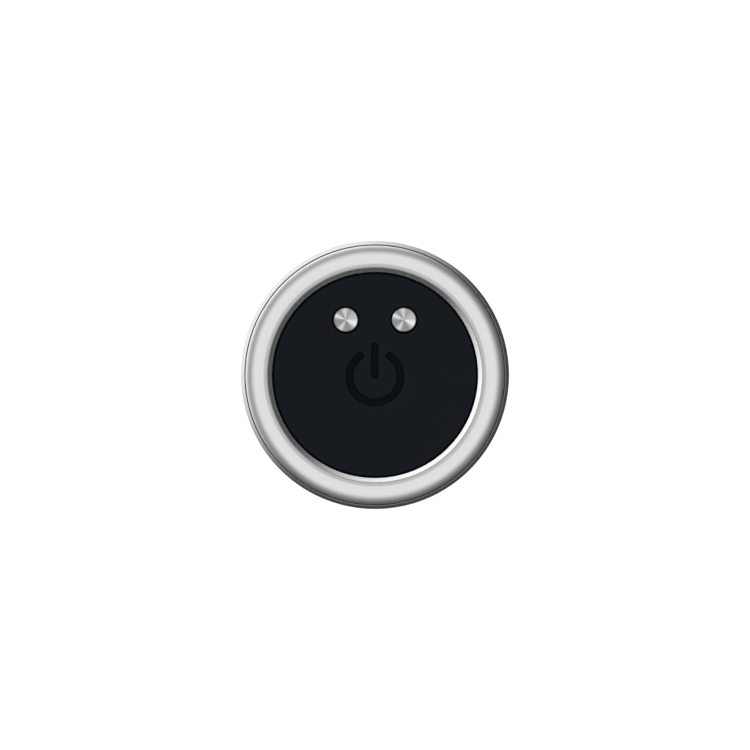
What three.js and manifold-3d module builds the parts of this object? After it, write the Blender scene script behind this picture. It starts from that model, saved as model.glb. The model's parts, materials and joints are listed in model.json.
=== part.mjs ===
// Sous vide circulator: a slim stick that clips to the wall of a pot, heats the water and stirs it.
// Millimetres, +Z up. The origin is the middle of the foot's underside, +Y is the clip's side, and the
// stick's axis is the Z axis. Every height is stacked up from the foot, so the pieces follow each other.

import * as THREE from 'three';
import { mergeVertices } from 'three/addons/utils/BufferGeometryUtils.js';
import Module from 'manifold-3d';

const wasm = await Module();
wasm.setup();

// ------------------------------------------------------------------ fits
const seatGap = 0.05; // between two faces that rest on each other
const pressGap = 0.1; // round a piece that is pushed into another and stays there
const runGap = 0.08; // round a spinning shaft
const moveGap = 0.3; // round a piece that slides or turns
const turnGap = 0.15; // between the skirt's collar and the flange that it turns under
const past = 1; // how far a cutting shape runs past the face that it cuts

// ------------------------------------------------------------------ driving sizes
const headRadius = 30;
const headWall = 0.9;
const headLength = 36; // the steel shell
const bodyRadius = 22;
const bodyWall = 1.6;
const bodyLength = 102; // the black tube
const skirtWall = 0.8;
const skirtLength = 110; // the slotted steel tube
const roundSides = 32; // sides of every large round
const smallSides = 20;
const tinySides = 10;

const foot = { inset: 2, thickness: 2, chamfer: 0.6, magnetRadius: 9, magnetThickness: 2 };
const cap = {
  floor: 3, wall: 2.4, chamfer: 0.8, portBottom: 7, portHeight: 12, portWidth: 3.2, ports: 12,
  lip: 4.95, spigot: 6,
};
const slot = { width: 3.2, height: 20, count: 12, rows: 2, firstRow: 20, rowStep: 28, turn: 15 };
const collar = {
  wall: 2.2, height: 13.9, spigot: 8, lugHeight: 3, lugCover: 0.8, lugAngle: 12, play: 3,
  twist: 30,
};
const bulkhead = {
  flange: 4, plateBelow: 3.15, plug: 8, plugWall: 2.7, spigot: 18, spigotWall: 2.9,
  screwDepth: 4.6,
};
const shaftBoss = { wall: 2.2, drop: 6 };
const oRing = { section: 1.35, inset: 2.3, sides: 6 };
const shaft = { radius: 2, tubeGap: 1.5, tubeWall: 0.8, bushLength: 8, sealWidth: 4, sealHeight: 5.6 };
const impeller = {
  wallGap: 3.6, hubWall: 2, height: 12, plate: 1.2, blades: 6, floorGap: 4, nutWall: 1.4,
};
const blade = { thickness: 1.6, rootInset: 0.6, tipInset: 0.8, sweep: 25 };
const heater = { tube: 2, wallGap: 2.5, legGap: 0.6, turns: 2.5, top: 26, height: 23, tail: 3 };
// How the heater's legs bend into its coil: lengths in mm, turns in degrees.
const heaterBend = {
  straight: 12, start: 6, out: 1, stepsPerTurn: 12, spreadSteps: 4, entry: 20, unwound: 60,
  lowOut: 1.4, lowTurn: 12, lowDrop: 1.5, rise: 4, samples: 64, sides: 4,
};
const sensor = { probe: 1.5, pin: 1, probeLength: 50, shortPin: 34, longPin: 46, tip: 0.6, tail: 3 };
const motorMount = {
  height: 14, wall: 3.3, plate: 2.8, screwRadius: 1.25, screwHead: 2.1, headHeight: 1.75,
};
const motor = {
  screwGap: 0.85, wall: 1.2, length: 26, endcap: 2.5, spigot: 3, spigotWall: 1.5, bearing: 4,
};
const bearingHeight = 3.6;
const rotor = { airGap: 2.1, length: 15.5, shaft: 1.5, tail: 1.6, collarRadius: 3.5, collarHeight: 3 };
const coupling = { wall: 3, length: 9, shaftGap: 0.8, clearance: 2.3 };
const chassis = { wall: 2.4, rise: 3.2, sideGap: 5.4, height: 46, back: 4, shelf: 8.4, wireHole: 5 };
const powerBoard = { inset: 0.5, height: 42, thickness: 1.6 };
// On the mains board, each part's place across it, its depth off it and its height up it. The places
// are right for a tube of this bore, and they shrink and grow with it.
const boardBore = 20.4;
const transformer = { x: [1, 14], depth: 13, z: [2, 16] };
const relay = { x: [-13, -2], depth: 10, z: [25, 40] };
const triac = { x: [3, 12], depth: 4, z: [21, 37] };
const capacitor = { radius: 5.5, height: 19.6, chamfer: 0.6, x: -7.5, rise: 2 };
const heatSink = { fins: 5, finWidth: 1.4, finDepth: 7, plate: 2, width: 13, left: 1, z: [19, 40] };
const base = { socket: 16, socketWall: 1.5, ledge: 5, spigot: 8, spigotWall: 1.6, edge: 1, lipRise: 1.5 };
const flare = { neckHandle: 4, edgeInset: 2, edgeDrop: 6 };
const gasket = { thickness: 1, width: 1.3 };
const gland = {
  bore: 3.5, wall: 1.7, bossWall: 1.3, proud: 2.1,
  bossReach: 5.2, bossInset: 2.8, drop: 7.2, taper: 0.3,
};
const glandCollar = { width: 1.2, flat: 0.7, height: 1.1 };
const shellLedge = { depth: 1.5, height: 2, below: 7.85 };
const deck = {
  plate: 2.35, rimWidth: 2.5, rimTop: 4.45, postRadius: 2.4, postInset: 7.1, posts: 3,
  postTurn: 30,
};
const controlBoard = { edgeGap: 3.1, thickness: 1.6, below: 4.5 };
const chip = { size: 10, thickness: 1.4, x: -6, y: 4 };
const buzzer = { radius: 4.5, height: 5, hole: 1, holeDepth: 2, x: 10, y: -8 };
const seal = { thickness: 1, width: 3.8 };
const bezel = { rise: 1.65, throatGap: 0.45, sideGap: 0.2 };
// The bezel's skin from the throat outwards: each stretch's share of the ring's width, and its slope
// in degrees.
const bezelSkin = [
  [0.14, 43.5], [0.055, 37], [0.1, 28], [0.06, 16], [0.085, -2], [0.165, 5],
  [0.045, -4], [0.1, -18], [0.08, -28], [0.08, -33], [0.09, -37],
];
const button = {
  inset: 7.45, recess: 1.8, chamfer: 0.25, thickness: 2, skirt: 3.6, flange: 1.8,
  flangeThickness: 1.2,
};
const buttonTravel = 0.7;
const stemRadius = 1.8;
const symbol = {
  radius: 5.7, stroke: 1.68, opening: 35, lift: -0.4, barWidth: 1.64, barTop: 7.2, barLow: -0.8,
};
const symbolDepth = 0.45;
const key = {
  radius: 2.77, spacing: 13, forward: 12.3, proud: 0.12, chamfer: 0.25, flange: 3.7, stem: 1.3,
};
const keyFlangeThickness = 0.9;
const tactSwitch = { width: 6, height: 3.4, well: 1.5 };
const clip = {
  width: 9.6, pinDrop: 14.2, length: 54, gap: 4.3, thickness: 1.6, tip: 0.5, lean: 0.9, tab: 12,
};
const clipHinge = { pinRadius: 1, barrel: 2.4, ear: 2, offset: 3, slotWidth: 3.4 };
const spring = {
  coilRadius: 1.45, wire: 0.35, halfWidth: 0.84, turns: 2.15, start: 200, stepsPerTurn: 10,
  backLeg: [-8, -4], frontLeg: [4, 7], frontBow: 0.4, samples: 40, sides: 3,
};
const bracket = {
  reach: 2.6, earInset: 0.2, below: 22, above: 5, screwRadius: 1.1, screwHead: 2, headHeight: 1.2, bite: 1.5,
};
const bracketScrewDrops = [13, 19];
const clipPad = { length: 16, thickness: 0.6, inset: 0.6, fromTip: 1 };
const screwShape = { drive: 0.8, rim: 0.6, crown: 0.75 };

// ------------------------------------------------------------------ radii that follow
const bodyInner = bodyRadius - bodyWall;
const skirtInner = bodyRadius - skirtWall;
const headInner = headRadius - headWall;
const collarBore = bodyRadius - collar.wall;
const grooveRadius = bodyRadius - collar.lugCover;
const spigotRadius = collarBore - moveGap;
const shaftTubeBore = shaft.radius + shaft.tubeGap;
const shaftTubeRadius = shaftTubeBore + shaft.tubeWall;
const sealRadius = shaft.radius + shaft.sealWidth;
const hubRadius = shaft.radius + impeller.hubWall;
const capInner = bodyRadius - cap.wall;
const impellerRadius = capInner - impeller.wallGap;
const coilRadius = spigotRadius - heater.tube - heater.wallGap;
const legRadius = coilRadius - 2 * heater.tube - heater.legGap;
const plugRadius = bodyInner - pressGap;
const plugInner = plugRadius - bulkhead.plugWall;
const mountRadius = plugInner - pressGap * 2;
const mountScrewRing = mountRadius - motorMount.wall / 2;
const motorRadius = mountScrewRing - motorMount.screwHead - motor.screwGap;
const rotorRadius = motorRadius - motor.wall - rotor.airGap;
const glandRadius = gland.bore + gland.wall;
// The gland's boss stands clear of the body and of the head's flare, whichever reaches further out.
const bossReach = Math.max(bodyRadius + gland.bossReach, headRadius - gland.bossInset);
const glandReach = bossReach + gland.proud;
const buttonRadius = headRadius - button.inset;
const throat = buttonRadius + bezel.throatGap;
const bezelRadius = headInner - bezel.sideGap;

// ------------------------------------------------------------------ heights, from the foot up
const capBottom = foot.thickness + seatGap;
const capFloorTop = capBottom + cap.floor;
const portBottom = capBottom + cap.portBottom;
const portTop = portBottom + cap.portHeight;
const capShoulder = portTop + cap.lip;
const skirtBottom = capShoulder + seatGap;
const skirtTop = skirtBottom + skirtLength;
const collarShoulder = skirtTop + seatGap;
const collarTop = collarShoulder + collar.height;
const flangeBottom = collarTop + turnGap;
const flangeTop = flangeBottom + bulkhead.flange;
const plateBottom = flangeBottom - bulkhead.plateBelow;
const spigotBottom = flangeBottom - bulkhead.spigot;
const lugBottom = collarShoulder + collar.height / 4;
const bodyBottom = flangeTop + seatGap;
const bodyTop = bodyBottom + bodyLength;
const mountBottom = flangeTop + seatGap;
const mountTop = mountBottom + motorMount.height;
const motorBottom = mountTop + seatGap;
const motorTop = motorBottom + motor.length;
const endcapTop = motorTop + seatGap + motor.endcap;
const chassisBottom = endcapTop + chassis.rise;
const boardBottom = chassisBottom + chassis.wall + past;
const gasketBottom = bodyTop + seatGap;
const baseLedge = gasketBottom + gasket.thickness + seatGap;
const baseBottom = bodyTop - base.socket;
const baseTop = baseLedge + base.ledge;
const glandHeight = bodyTop - gland.drop;
const shellBottom = baseTop + seatGap;
const shellTop = shellBottom + headLength;
const crownTop = shellTop + bezel.rise;
const ledgeTop = shellTop - shellLedge.below;
const deckBottom = ledgeTop + seatGap;
const deckTop = deckBottom + deck.plate;
const rimTop = deckBottom + deck.rimTop;
const sealTop = rimTop + seatGap + seal.thickness;
const bezelBottom = sealTop + seatGap;
const controlBoardTop = deckBottom - controlBoard.below;
const faceTop = crownTop - button.recess;
const switchBottom = controlBoardTop + seatGap;
const switchTop = switchBottom + tactSwitch.height;
const stemBottom = switchTop + seatGap;
const shaftBottom = capFloorTop + 2 * past;
const impellerBottom = capFloorTop + impeller.floorGap;
const impellerTop = impellerBottom + impeller.height;
const shaftTubeBottom = impellerTop + 3 * past;
const bossBottom = plateBottom - shaftBoss.drop;
const sealBottom = flangeTop - shaft.sealHeight;
const couplingBottom = flangeTop + coupling.clearance;
const couplingTop = couplingBottom + coupling.length;
const couplingMiddle = (couplingBottom + couplingTop) / 2;
const clipPinY = bodyRadius + clipHinge.offset;
const clipPinZ = baseBottom - clip.pinDrop;
const armInner = bodyRadius + clip.gap + clipPad.thickness - clipPinY; // from the pin

// ------------------------------------------------------------------ materials
const finish = (color, roughness, metalness) =>
  new THREE.MeshStandardMaterial({ color, roughness, metalness });
const brushedSteel = finish(0xc9cacb, 0.32, 1);
const stainless = finish(0xb9bcc0, 0.28, 1);
const blackPlastic = finish(0x1a1e22, 0.6, 0);
const blackTube = finish(0x17191c, 0.42, 0.6);
const rubber = finish(0x101112, 0.85, 0);
const aluminium = finish(0xa9adb2, 0.45, 1);
const boardGreen = finish(0x1d5a38, 0.5, 0);
const componentBlack = finish(0x202224, 0.5, 0);
const componentBlue = finish(0x27405f, 0.4, 0);
const copper = finish(0xb3703a, 0.4, 1);
const magnetGrey = finish(0x8d9095, 0.3, 1);
const whitePlastic = finish(0xd9d8d2, 0.5, 0);

// ------------------------------------------------------------------ making and cutting solids

// A closed geometry as a solid, with shared vertices merged and slivers of no area left out.
function solidOf(geometry) {
  const bare = geometry.clone();
  bare.deleteAttribute('normal');
  bare.deleteAttribute('uv');
  const merged = mergeVertices(bare, 1e-4);
  const triVerts = [];
  for (let i = 0; i < merged.index.count; i += 3) {
    const [a, b, c] = [0, 1, 2].map((k) => merged.index.getX(i + k));
    if (a !== b && b !== c && c !== a) triVerts.push(a, b, c);
  }
  const vertProperties = merged.attributes.position.array;
  const closedMesh = new wasm.Mesh({ numProp: 3, vertProperties, triVerts: new Uint32Array(triVerts) });
  return new wasm.Manifold(closedMesh);
}

function geometryOf(solid) {
  const mesh = solid.getMesh();
  const geometry = new THREE.BufferGeometry();
  geometry.setAttribute('position', new THREE.BufferAttribute(mesh.vertProperties, 3));
  geometry.setIndex(new THREE.BufferAttribute(mesh.triVerts, 1));
  geometry.computeVertexNormals();
  return geometry;
}

function combine(operation, first, others) {
  let result = solidOf(first);
  for (const other of others) result = result[operation](solidOf(other));
  return geometryOf(result);
}

const join = (first, ...others) => combine('add', first, others);
const cut = (first, ...others) => combine('subtract', first, others);

// A profile of [radius, height] points turned round the Z axis. It ends on the axis or closes on itself.
function turned(profile, sides = roundSides) {
  const points = profile.map((p) => (p.isVector2 ? p : new THREE.Vector2(...p)));
  const onAxis = points[0].x === 0 && points.at(-1).x === 0;
  if (THREE.ShapeUtils.area(points) < 0) points.reverse();
  if (!onAxis) points.push(points[0].clone());
  return new THREE.LatheGeometry(points, sides).rotateX(Math.PI / 2);
}

const ring = (inner, outer, low, high, sides) =>
  turned([[inner, low], [outer, low], [outer, high], [inner, high]], sides);

const disc = (radius, low, high, sides) =>
  turned([[0, low], [radius, low], [radius, high], [0, high]], sides);

const alongY = (geometry, height = 0) => geometry.rotateX(-Math.PI / 2).translate(0, 0, height);
const alongX = (geometry) => geometry.rotateY(Math.PI / 2);
const at = (geometry, x, y, z = 0) => geometry.translate(x, y, z);

function block(x, y, z) {
  const size = [x, y, z].map(([low, high]) => high - low);
  const middle = [x, y, z].map(([low, high]) => (low + high) / 2);
  return new THREE.BoxGeometry(...size).translate(...middle);
}

function prism(shape, low, high, curveSegments = 6) {
  const extrusion = { depth: high - low, bevelEnabled: false, curveSegments };
  const geometry = new THREE.ExtrudeGeometry(shape, extrusion);
  return geometry.translate(0, 0, low);
}

const alongPath = (section, extrudePath, steps, curveSegments) =>
  new THREE.ExtrudeGeometry(section, { steps, bevelEnabled: false, extrudePath, curveSegments });

const radians = THREE.MathUtils.degToRad;

// A stretch of a ring, from one angle to another in degrees.
function sector(inner, outer, from, to, low, high, curveSegments = 4) {
  const shape = new THREE.Shape();
  shape.absarc(0, 0, outer, radians(from), radians(to), false);
  shape.absarc(0, 0, inner, radians(to), radians(from), true);
  return prism(shape, low, high, curveSegments);
}

// The point on a circle about the axis, as [x, y].
const polar = (radius, degrees) => [radius * Math.cos(radians(degrees)), radius * Math.sin(radians(degrees))];

const circulator = new THREE.Group();

function add(name, geometry, material, parent = circulator) {
  const mesh = new THREE.Mesh(geometryOf(solidOf(geometry)), material);
  mesh.name = name;
  parent.add(mesh);
  return mesh;
}

// A machine screw with its head's underside at height 0 and its shank hanging down the Z axis.
function screw(shankRadius, shankLength, headRadiusOfScrew, headHeight) {
  const driveRadius = shankRadius * screwShape.drive;
  const body = turned([
    [0, -shankLength],
    [shankRadius, -shankLength],
    [shankRadius, 0],
    [headRadiusOfScrew, 0],
    [headRadiusOfScrew, headHeight * screwShape.rim],
    [headRadiusOfScrew * screwShape.crown, headHeight],
    [0, headHeight],
  ], tinySides);
  return cut(body, disc(driveRadius, headHeight / 2, headHeight + past, 6));
}

// ------------------------------------------------------------------ the head

// The steel ring: a steep throat, a cove, a fine bead and groove, then a broad crown that rolls off.
// Its skin is a sum of slopes, hung so that its highest point is the crown.
function addBezel() {
  const width = bezelRadius - throat;
  const skin = [[throat, 0]];
  for (const [share, slope] of bezelSkin) {
    const [radius, height] = skin.at(-1);
    skin.push([radius + share * width, height + share * width * Math.tan(radians(slope))]);
  }
  const crown = Math.max(...skin.map(([, height]) => height));
  const profile = skin.map(([radius, height]) => [radius, height - crown + crownTop]);
  add('bezel_ring', turned([[throat, bezelBottom], ...profile, [bezelRadius, bezelBottom]]), brushedSteel);
}

function addHeadShell() {
  const lip = headWall / 3;
  const shell = turned([
    [headInner, shellBottom],
    [headRadius, shellBottom],
    [headRadius, shellTop - lip],
    [headRadius - lip, shellTop],
    [headInner + lip, shellTop],
    [headInner, shellTop - lip],
    [headInner, ledgeTop],
    [headInner - shellLedge.depth, ledgeTop],
    [headInner - shellLedge.depth, ledgeTop - shellLedge.height],
    [headInner, ledgeTop - shellLedge.height],
  ]);
  add('head_shell', shell, brushedSteel);
}

const keyPlaces = { left: -key.spacing / 2, right: key.spacing / 2 };

// The power symbol: a broken circle and a bar, both with round ends.
function symbolCutters() {
  const outer = symbol.radius + symbol.stroke / 2;
  const inner = symbol.radius - symbol.stroke / 2;
  const start = radians(90 + symbol.opening);
  const end = radians(450 - symbol.opening);
  const endCap = (angle) =>
    new THREE.Vector2(symbol.radius * Math.cos(angle), symbol.radius * Math.sin(angle));
  const arc = new THREE.Shape();
  arc.absarc(0, 0, outer, start, end, false);
  arc.absarc(endCap(end).x, endCap(end).y, symbol.stroke / 2, end, end + Math.PI, false);
  arc.absarc(0, 0, inner, end, start, true);
  arc.absarc(endCap(start).x, endCap(start).y, symbol.stroke / 2,
    start + Math.PI, start + 2 * Math.PI, false);
  const half = symbol.barWidth / 2;
  const bar = new THREE.Shape();
  bar.absarc(0, symbol.barTop - half, half, 0, Math.PI, false);
  bar.absarc(0, symbol.barLow + half, half, Math.PI, 2 * Math.PI, false);
  const low = faceTop - symbolDepth;
  const high = faceTop + past;
  return [prism(arc, low, high, 8).translate(0, symbol.lift, 0), prism(bar, low, high, 4)];
}

// The black face is one press button. A flange under its edge keeps it below the bezel's throat.
function addPowerButton() {
  const low = faceTop - button.skirt;
  const flangeTopZ = low + button.flangeThickness;
  const flangeRadius = buttonRadius + button.flange;
  const cup = turned([
    [0, faceTop],
    [buttonRadius - button.chamfer, faceTop],
    [buttonRadius, faceTop - button.chamfer],
    [buttonRadius, flangeTopZ],
    [flangeRadius, flangeTopZ],
    [flangeRadius, low],
    [buttonRadius - button.flange, low],
    [buttonRadius - button.flange, faceTop - button.thickness],
    [stemRadius, faceTop - button.thickness],
    [stemRadius, stemBottom],
    [0, stemBottom],
  ]);
  const keyHoles = Object.values(keyPlaces).map((x) =>
    at(disc(key.radius + moveGap, low, faceTop + past, smallSides), x, key.forward));
  add('power_button', cut(cup, ...symbolCutters(), ...keyHoles), blackPlastic);
}

function addKeys() {
  const top = faceTop + key.proud;
  const flangeTopZ = faceTop - button.thickness - buttonTravel - moveGap;
  for (const [side, x] of Object.entries(keyPlaces)) {
    const cap = turned([
      [0, top],
      [key.radius - key.chamfer, top],
      [key.radius, top - key.chamfer],
      [key.radius, flangeTopZ],
      [key.flange, flangeTopZ],
      [key.flange, flangeTopZ - keyFlangeThickness],
      [key.stem, flangeTopZ - keyFlangeThickness],
      [key.stem, stemBottom],
      [0, stemBottom],
    ], smallSides);
    add(`${side}_key`, cap, aluminium).position.set(x, key.forward, 0);
  }
}

// The deck closes the electronics off under the button and carries the control board on posts.
function addDeck() {
  const radius = headInner - pressGap;
  const rim = radius - deck.rimWidth;
  let plate = turned([
    [0, deckBottom],
    [radius, deckBottom],
    [radius, rimTop],
    [rim, rimTop],
    [rim, deckTop],
    [0, deckTop],
  ]);
  for (let i = 0; i < deck.posts; i++) {
    const [x, y] = polar(headInner - deck.postInset, deck.postTurn + (i * 360) / deck.posts);
    plate = join(plate, at(disc(deck.postRadius, switchBottom, deckBottom + past / 2, tinySides), x, y));
  }
  const stemHole = disc(stemRadius + moveGap, deckBottom - past, deckTop + past, smallSides);
  const keyHoles = Object.values(keyPlaces).map((x) =>
    at(disc(key.stem + moveGap, deckBottom - past, deckTop + past, tinySides), x, key.forward));
  add('control_deck', cut(plate, stemHole, ...keyHoles), blackPlastic);
  const sealOuter = radius - pressGap;
  add('face_seal', ring(sealOuter - seal.width, sealOuter, rimTop + seatGap, sealTop), rubber);
}

function addControlBoard() {
  const low = controlBoardTop - controlBoard.thickness;
  add('control_board', disc(headInner - controlBoard.edgeGap, low, controlBoardTop), boardGreen);
  const half = tactSwitch.width / 2;
  const places = {
    power: [0, 0],
    left_key: [keyPlaces.left, key.forward],
    right_key: [keyPlaces.right, key.forward],
  };
  for (const [name, [x, y]] of Object.entries(places)) {
    const housing = block([-half, half], [-half, half], [switchBottom, switchTop]);
    const well = disc(stemRadius + moveGap, switchTop - tactSwitch.well, switchTop + past, tinySides);
    add(`${name}_switch`, cut(housing, well), componentBlack).position.set(x, y, 0);
  }
  const underside = low - seatGap;
  const chipHalf = chip.size / 2;
  const chipBody = block([-chipHalf, chipHalf], [-chipHalf, chipHalf],
    [underside - chip.thickness, underside]);
  add('control_chip', chipBody, componentBlack).position.set(chip.x, chip.y, 0);
  const buzzerLow = underside - buzzer.height;
  const soundHole = disc(buzzer.hole, buzzerLow - past, buzzerLow + buzzer.holeDepth, tinySides);
  const buzzerBody = cut(disc(buzzer.radius, buzzerLow, underside, smallSides), soundHole);
  add('buzzer', buzzerBody, componentBlack).position.set(buzzer.x, buzzer.y, 0);
}

// The black lower half of the head flares out from the body's socket to the steel shell.
function addHeadBase() {
  const socket = bodyRadius + pressGap;
  const neck = socket + base.socketWall;
  const spigot = headInner - pressGap;
  const profile = new THREE.Path();
  profile.moveTo(socket, baseBottom);
  profile.lineTo(neck, baseBottom);
  profile.bezierCurveTo(
    neck, glandHeight + flare.neckHandle,
    headRadius - flare.edgeInset, baseTop - flare.edgeDrop,
    headRadius, baseTop - base.edge,
  );
  profile.lineTo(headRadius, baseTop);
  profile.lineTo(spigot, baseTop);
  profile.lineTo(spigot, baseTop + base.spigot);
  profile.lineTo(spigot - base.spigotWall, baseTop + base.spigot);
  profile.lineTo(spigot - base.spigotWall, baseTop + base.edge);
  profile.lineTo(bodyInner, baseLedge + base.lipRise);
  profile.lineTo(bodyInner, baseLedge);
  profile.lineTo(socket, baseLedge);
  const bossDisc = disc(glandRadius + gland.bossWall, bodyRadius + past, bossReach, smallSides);
  const boss = alongY(bossDisc, glandHeight);
  const bodySpace = disc(socket, baseBottom - past, baseLedge);
  const glandHole = alongY(disc(glandRadius + pressGap, 0, glandReach, smallSides), glandHeight);
  const flared = join(turned(profile.getPoints(4)), boss);
  add('head_base', cut(flared, bodySpace, glandHole), blackPlastic);
}

// The gland's bore is empty: it lies along +Y, and its collar rests on the boss.
function addGland() {
  const inner = bodyRadius + moveGap;
  const seat = bossReach + seatGap;
  const collarRadius = glandRadius + glandCollar.width;
  const profile = [
    [gland.bore, inner],
    [glandRadius, inner],
    [glandRadius, seat],
    [collarRadius, seat],
    [collarRadius, seat + glandCollar.flat],
    [glandRadius, seat + glandCollar.height],
    [glandRadius - gland.taper, glandReach],
    [gland.bore, glandReach],
  ];
  add('cord_gland', alongY(turned(profile, smallSides), glandHeight), rubber);
}

// ------------------------------------------------------------------ the body

const bracketScrewHeights = bracketScrewDrops.map((drop) => clipPinZ - drop);

function addBodyTube() {
  const tube = ring(bodyInner, bodyRadius, bodyBottom, bodyTop);
  const cordHole = alongY(disc(gland.bore + pressGap, 0, headRadius, smallSides), glandHeight);
  const screwHoles = bracketScrewHeights.map((z) =>
    alongY(disc(bracket.screwRadius + pressGap, 0, headRadius, tinySides), z));
  add('body_tube', cut(tube, cordHole, ...screwHoles), blackTube);
  const outer = bodyRadius - pressGap;
  const seal = ring(outer - gasket.width, outer, gasketBottom, gasketBottom + gasket.thickness);
  add('body_gasket', seal, rubber);
}

const sensorPlaces = [
  { name: 'temperature_probe', angle: 90, radius: sensor.probe, length: sensor.probeLength },
  { name: 'low_level_pin', angle: 245, radius: sensor.pin, length: sensor.longPin },
  { name: 'high_level_pin', angle: 295, radius: sensor.pin, length: sensor.shortPin },
];
const mountScrewAngles = [30, 150, 270];
const lugAngles = [90, 210, 330];

// The bulkhead parts the dry body from the wet skirt. Its lugs hold the skirt's collar.
function addBulkhead() {
  const boss = shaftTubeRadius + pressGap;
  const grooveLow = flangeTop + oRing.inset;
  const grooveRoot = plugRadius - oRing.section;
  const spigotInner = spigotRadius - bulkhead.spigotWall;
  let body = turned([
    [boss, bossBottom],
    [boss + shaftBoss.wall, bossBottom],
    [boss + shaftBoss.wall, plateBottom],
    [spigotInner, plateBottom],
    [spigotInner, spigotBottom],
    [spigotRadius, spigotBottom],
    [spigotRadius, flangeBottom],
    [bodyRadius, flangeBottom],
    [bodyRadius, flangeTop],
    [plugRadius, flangeTop],
    [plugRadius, grooveLow],
    [grooveRoot, grooveLow],
    [grooveRoot, grooveLow + 2 * oRing.section],
    [plugRadius, grooveLow + 2 * oRing.section],
    [plugRadius, flangeTop + bulkhead.plug],
    [plugInner, flangeTop + bulkhead.plug],
    [plugInner, flangeTop],
    [sealRadius, flangeTop],
    [sealRadius, sealBottom],
    [boss, sealBottom],
  ]);
  for (const angle of lugAngles) {
    const [from, to] = [angle - collar.lugAngle, angle + collar.lugAngle];
    const lugTop = lugBottom + collar.lugHeight;
    const lug = sector(spigotInner + past, grooveRadius - moveGap, from, to, lugBottom, lugTop);
    body = join(body, lug);
  }
  const through = (radius, ringRadius, angle, sides) =>
    at(disc(radius + pressGap, plateBottom - past, flangeTop + past, sides), ...polar(ringRadius, angle));
  const holes = [
    through(heater.tube, legRadius, 0, smallSides),
    through(heater.tube, legRadius, heater.turns * 360, smallSides),
    ...sensorPlaces.map(({ radius, angle }) => through(radius, legRadius, angle, tinySides)),
    ...mountScrewAngles.map((angle) =>
      at(disc(motorMount.screwRadius + pressGap, flangeTop - bulkhead.screwDepth, flangeTop + past,
        tinySides), ...polar(mountScrewRing, angle))),
  ];
  add('bulkhead', cut(body, ...holes), blackPlastic);

  const section = [];
  for (let i = 0; i < oRing.sides; i++) {
    const angle = (i * 2 * Math.PI) / oRing.sides;
    const radius = oRing.section / 2;
    section.push([grooveRoot + pressGap + radius * (1 + Math.cos(angle)), radius * Math.sin(angle)]);
  }
  add('bulkhead_o_ring', turned(section), rubber).position.z = grooveLow + oRing.section;
}

function addMotorMount() {
  const inner = mountRadius - motorMount.wall;
  const bossHole = motor.bearing + motor.wall + 2 * pressGap;
  const cage = turned([
    [inner, mountBottom],
    [mountRadius, mountBottom],
    [mountRadius, mountTop],
    [bossHole, mountTop],
    [bossHole, mountTop - motorMount.plate],
    [inner, mountTop - motorMount.plate],
  ]);
  const holes = mountScrewAngles.map((angle) =>
    at(disc(motorMount.screwRadius + pressGap, mountBottom - past, mountTop + past, tinySides),
      ...polar(mountScrewRing, angle)));
  add('motor_mount', cut(cage, ...holes), blackPlastic);
  const shank = motorMount.height + bulkhead.screwDepth - past;
  mountScrewAngles.forEach((angle, i) => {
    const part = screw(motorMount.screwRadius, shank, motorMount.screwHead, motorMount.headHeight);
    const node = add(`motor_screw_${i + 1}`, part, stainless);
    node.position.set(...polar(mountScrewRing, angle), mountTop + seatGap);
  });
}

// The motor: a steel can with a boss for the lower bearing, and an end cap for the upper one.
function addMotor() {
  const bearingHole = motor.bearing + seatGap;
  const bossRadius = motor.bearing + motor.wall;
  const floorTop = motorBottom + motor.wall * 1.5;
  const can = turned([
    [bearingHole, motorBottom - motorMount.plate + pressGap],
    [bossRadius, motorBottom - motorMount.plate + pressGap],
    [bossRadius, motorBottom],
    [motorRadius, motorBottom],
    [motorRadius, motorTop],
    [motorRadius - motor.wall, motorTop],
    [motorRadius - motor.wall, floorTop],
    [bearingHole, floorTop],
  ], smallSides);
  add('motor_can', can, stainless);

  const spigot = motorRadius - motor.wall - pressGap;
  const low = motorTop + seatGap;
  const endcap = turned([
    [bearingHole, low - motor.spigot / 2],
    [bossRadius + moveGap, low - motor.spigot / 2],
    [bossRadius + moveGap, low],
    [spigot - motor.spigotWall, low],
    [spigot - motor.spigotWall, low - motor.spigot],
    [spigot, low - motor.spigot],
    [spigot, low],
    [motorRadius, low],
    [motorRadius, endcapTop],
    [bearingHole, endcapTop],
  ], smallSides);
  add('motor_endcap', endcap, blackPlastic);

  const bearing = () => ring(rotor.shaft + runGap, motor.bearing, 0, bearingHeight, smallSides);
  add('lower_bearing', bearing(), stainless).position.z = floorTop - bearingHeight;
  add('upper_bearing', bearing(), stainless).position.z = endcapTop - bearingHeight;

  const coreLow = floorTop + 2 * past;
  const coreTop = coreLow + rotor.length;
  const spinning = turned([
    [0, couplingMiddle + coupling.shaftGap / 2],
    [rotor.shaft, couplingMiddle + coupling.shaftGap / 2],
    [rotor.shaft, coreLow],
    [rotorRadius, coreLow],
    [rotorRadius, coreTop],
    [rotor.collarRadius, coreTop],
    [rotor.collarRadius, coreTop + rotor.collarHeight],
    [rotor.shaft, coreTop + rotor.collarHeight],
    [rotor.shaft, endcapTop + rotor.tail],
    [0, endcapTop + rotor.tail],
  ], smallSides);
  add('motor_rotor', spinning, copper);
}

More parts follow.
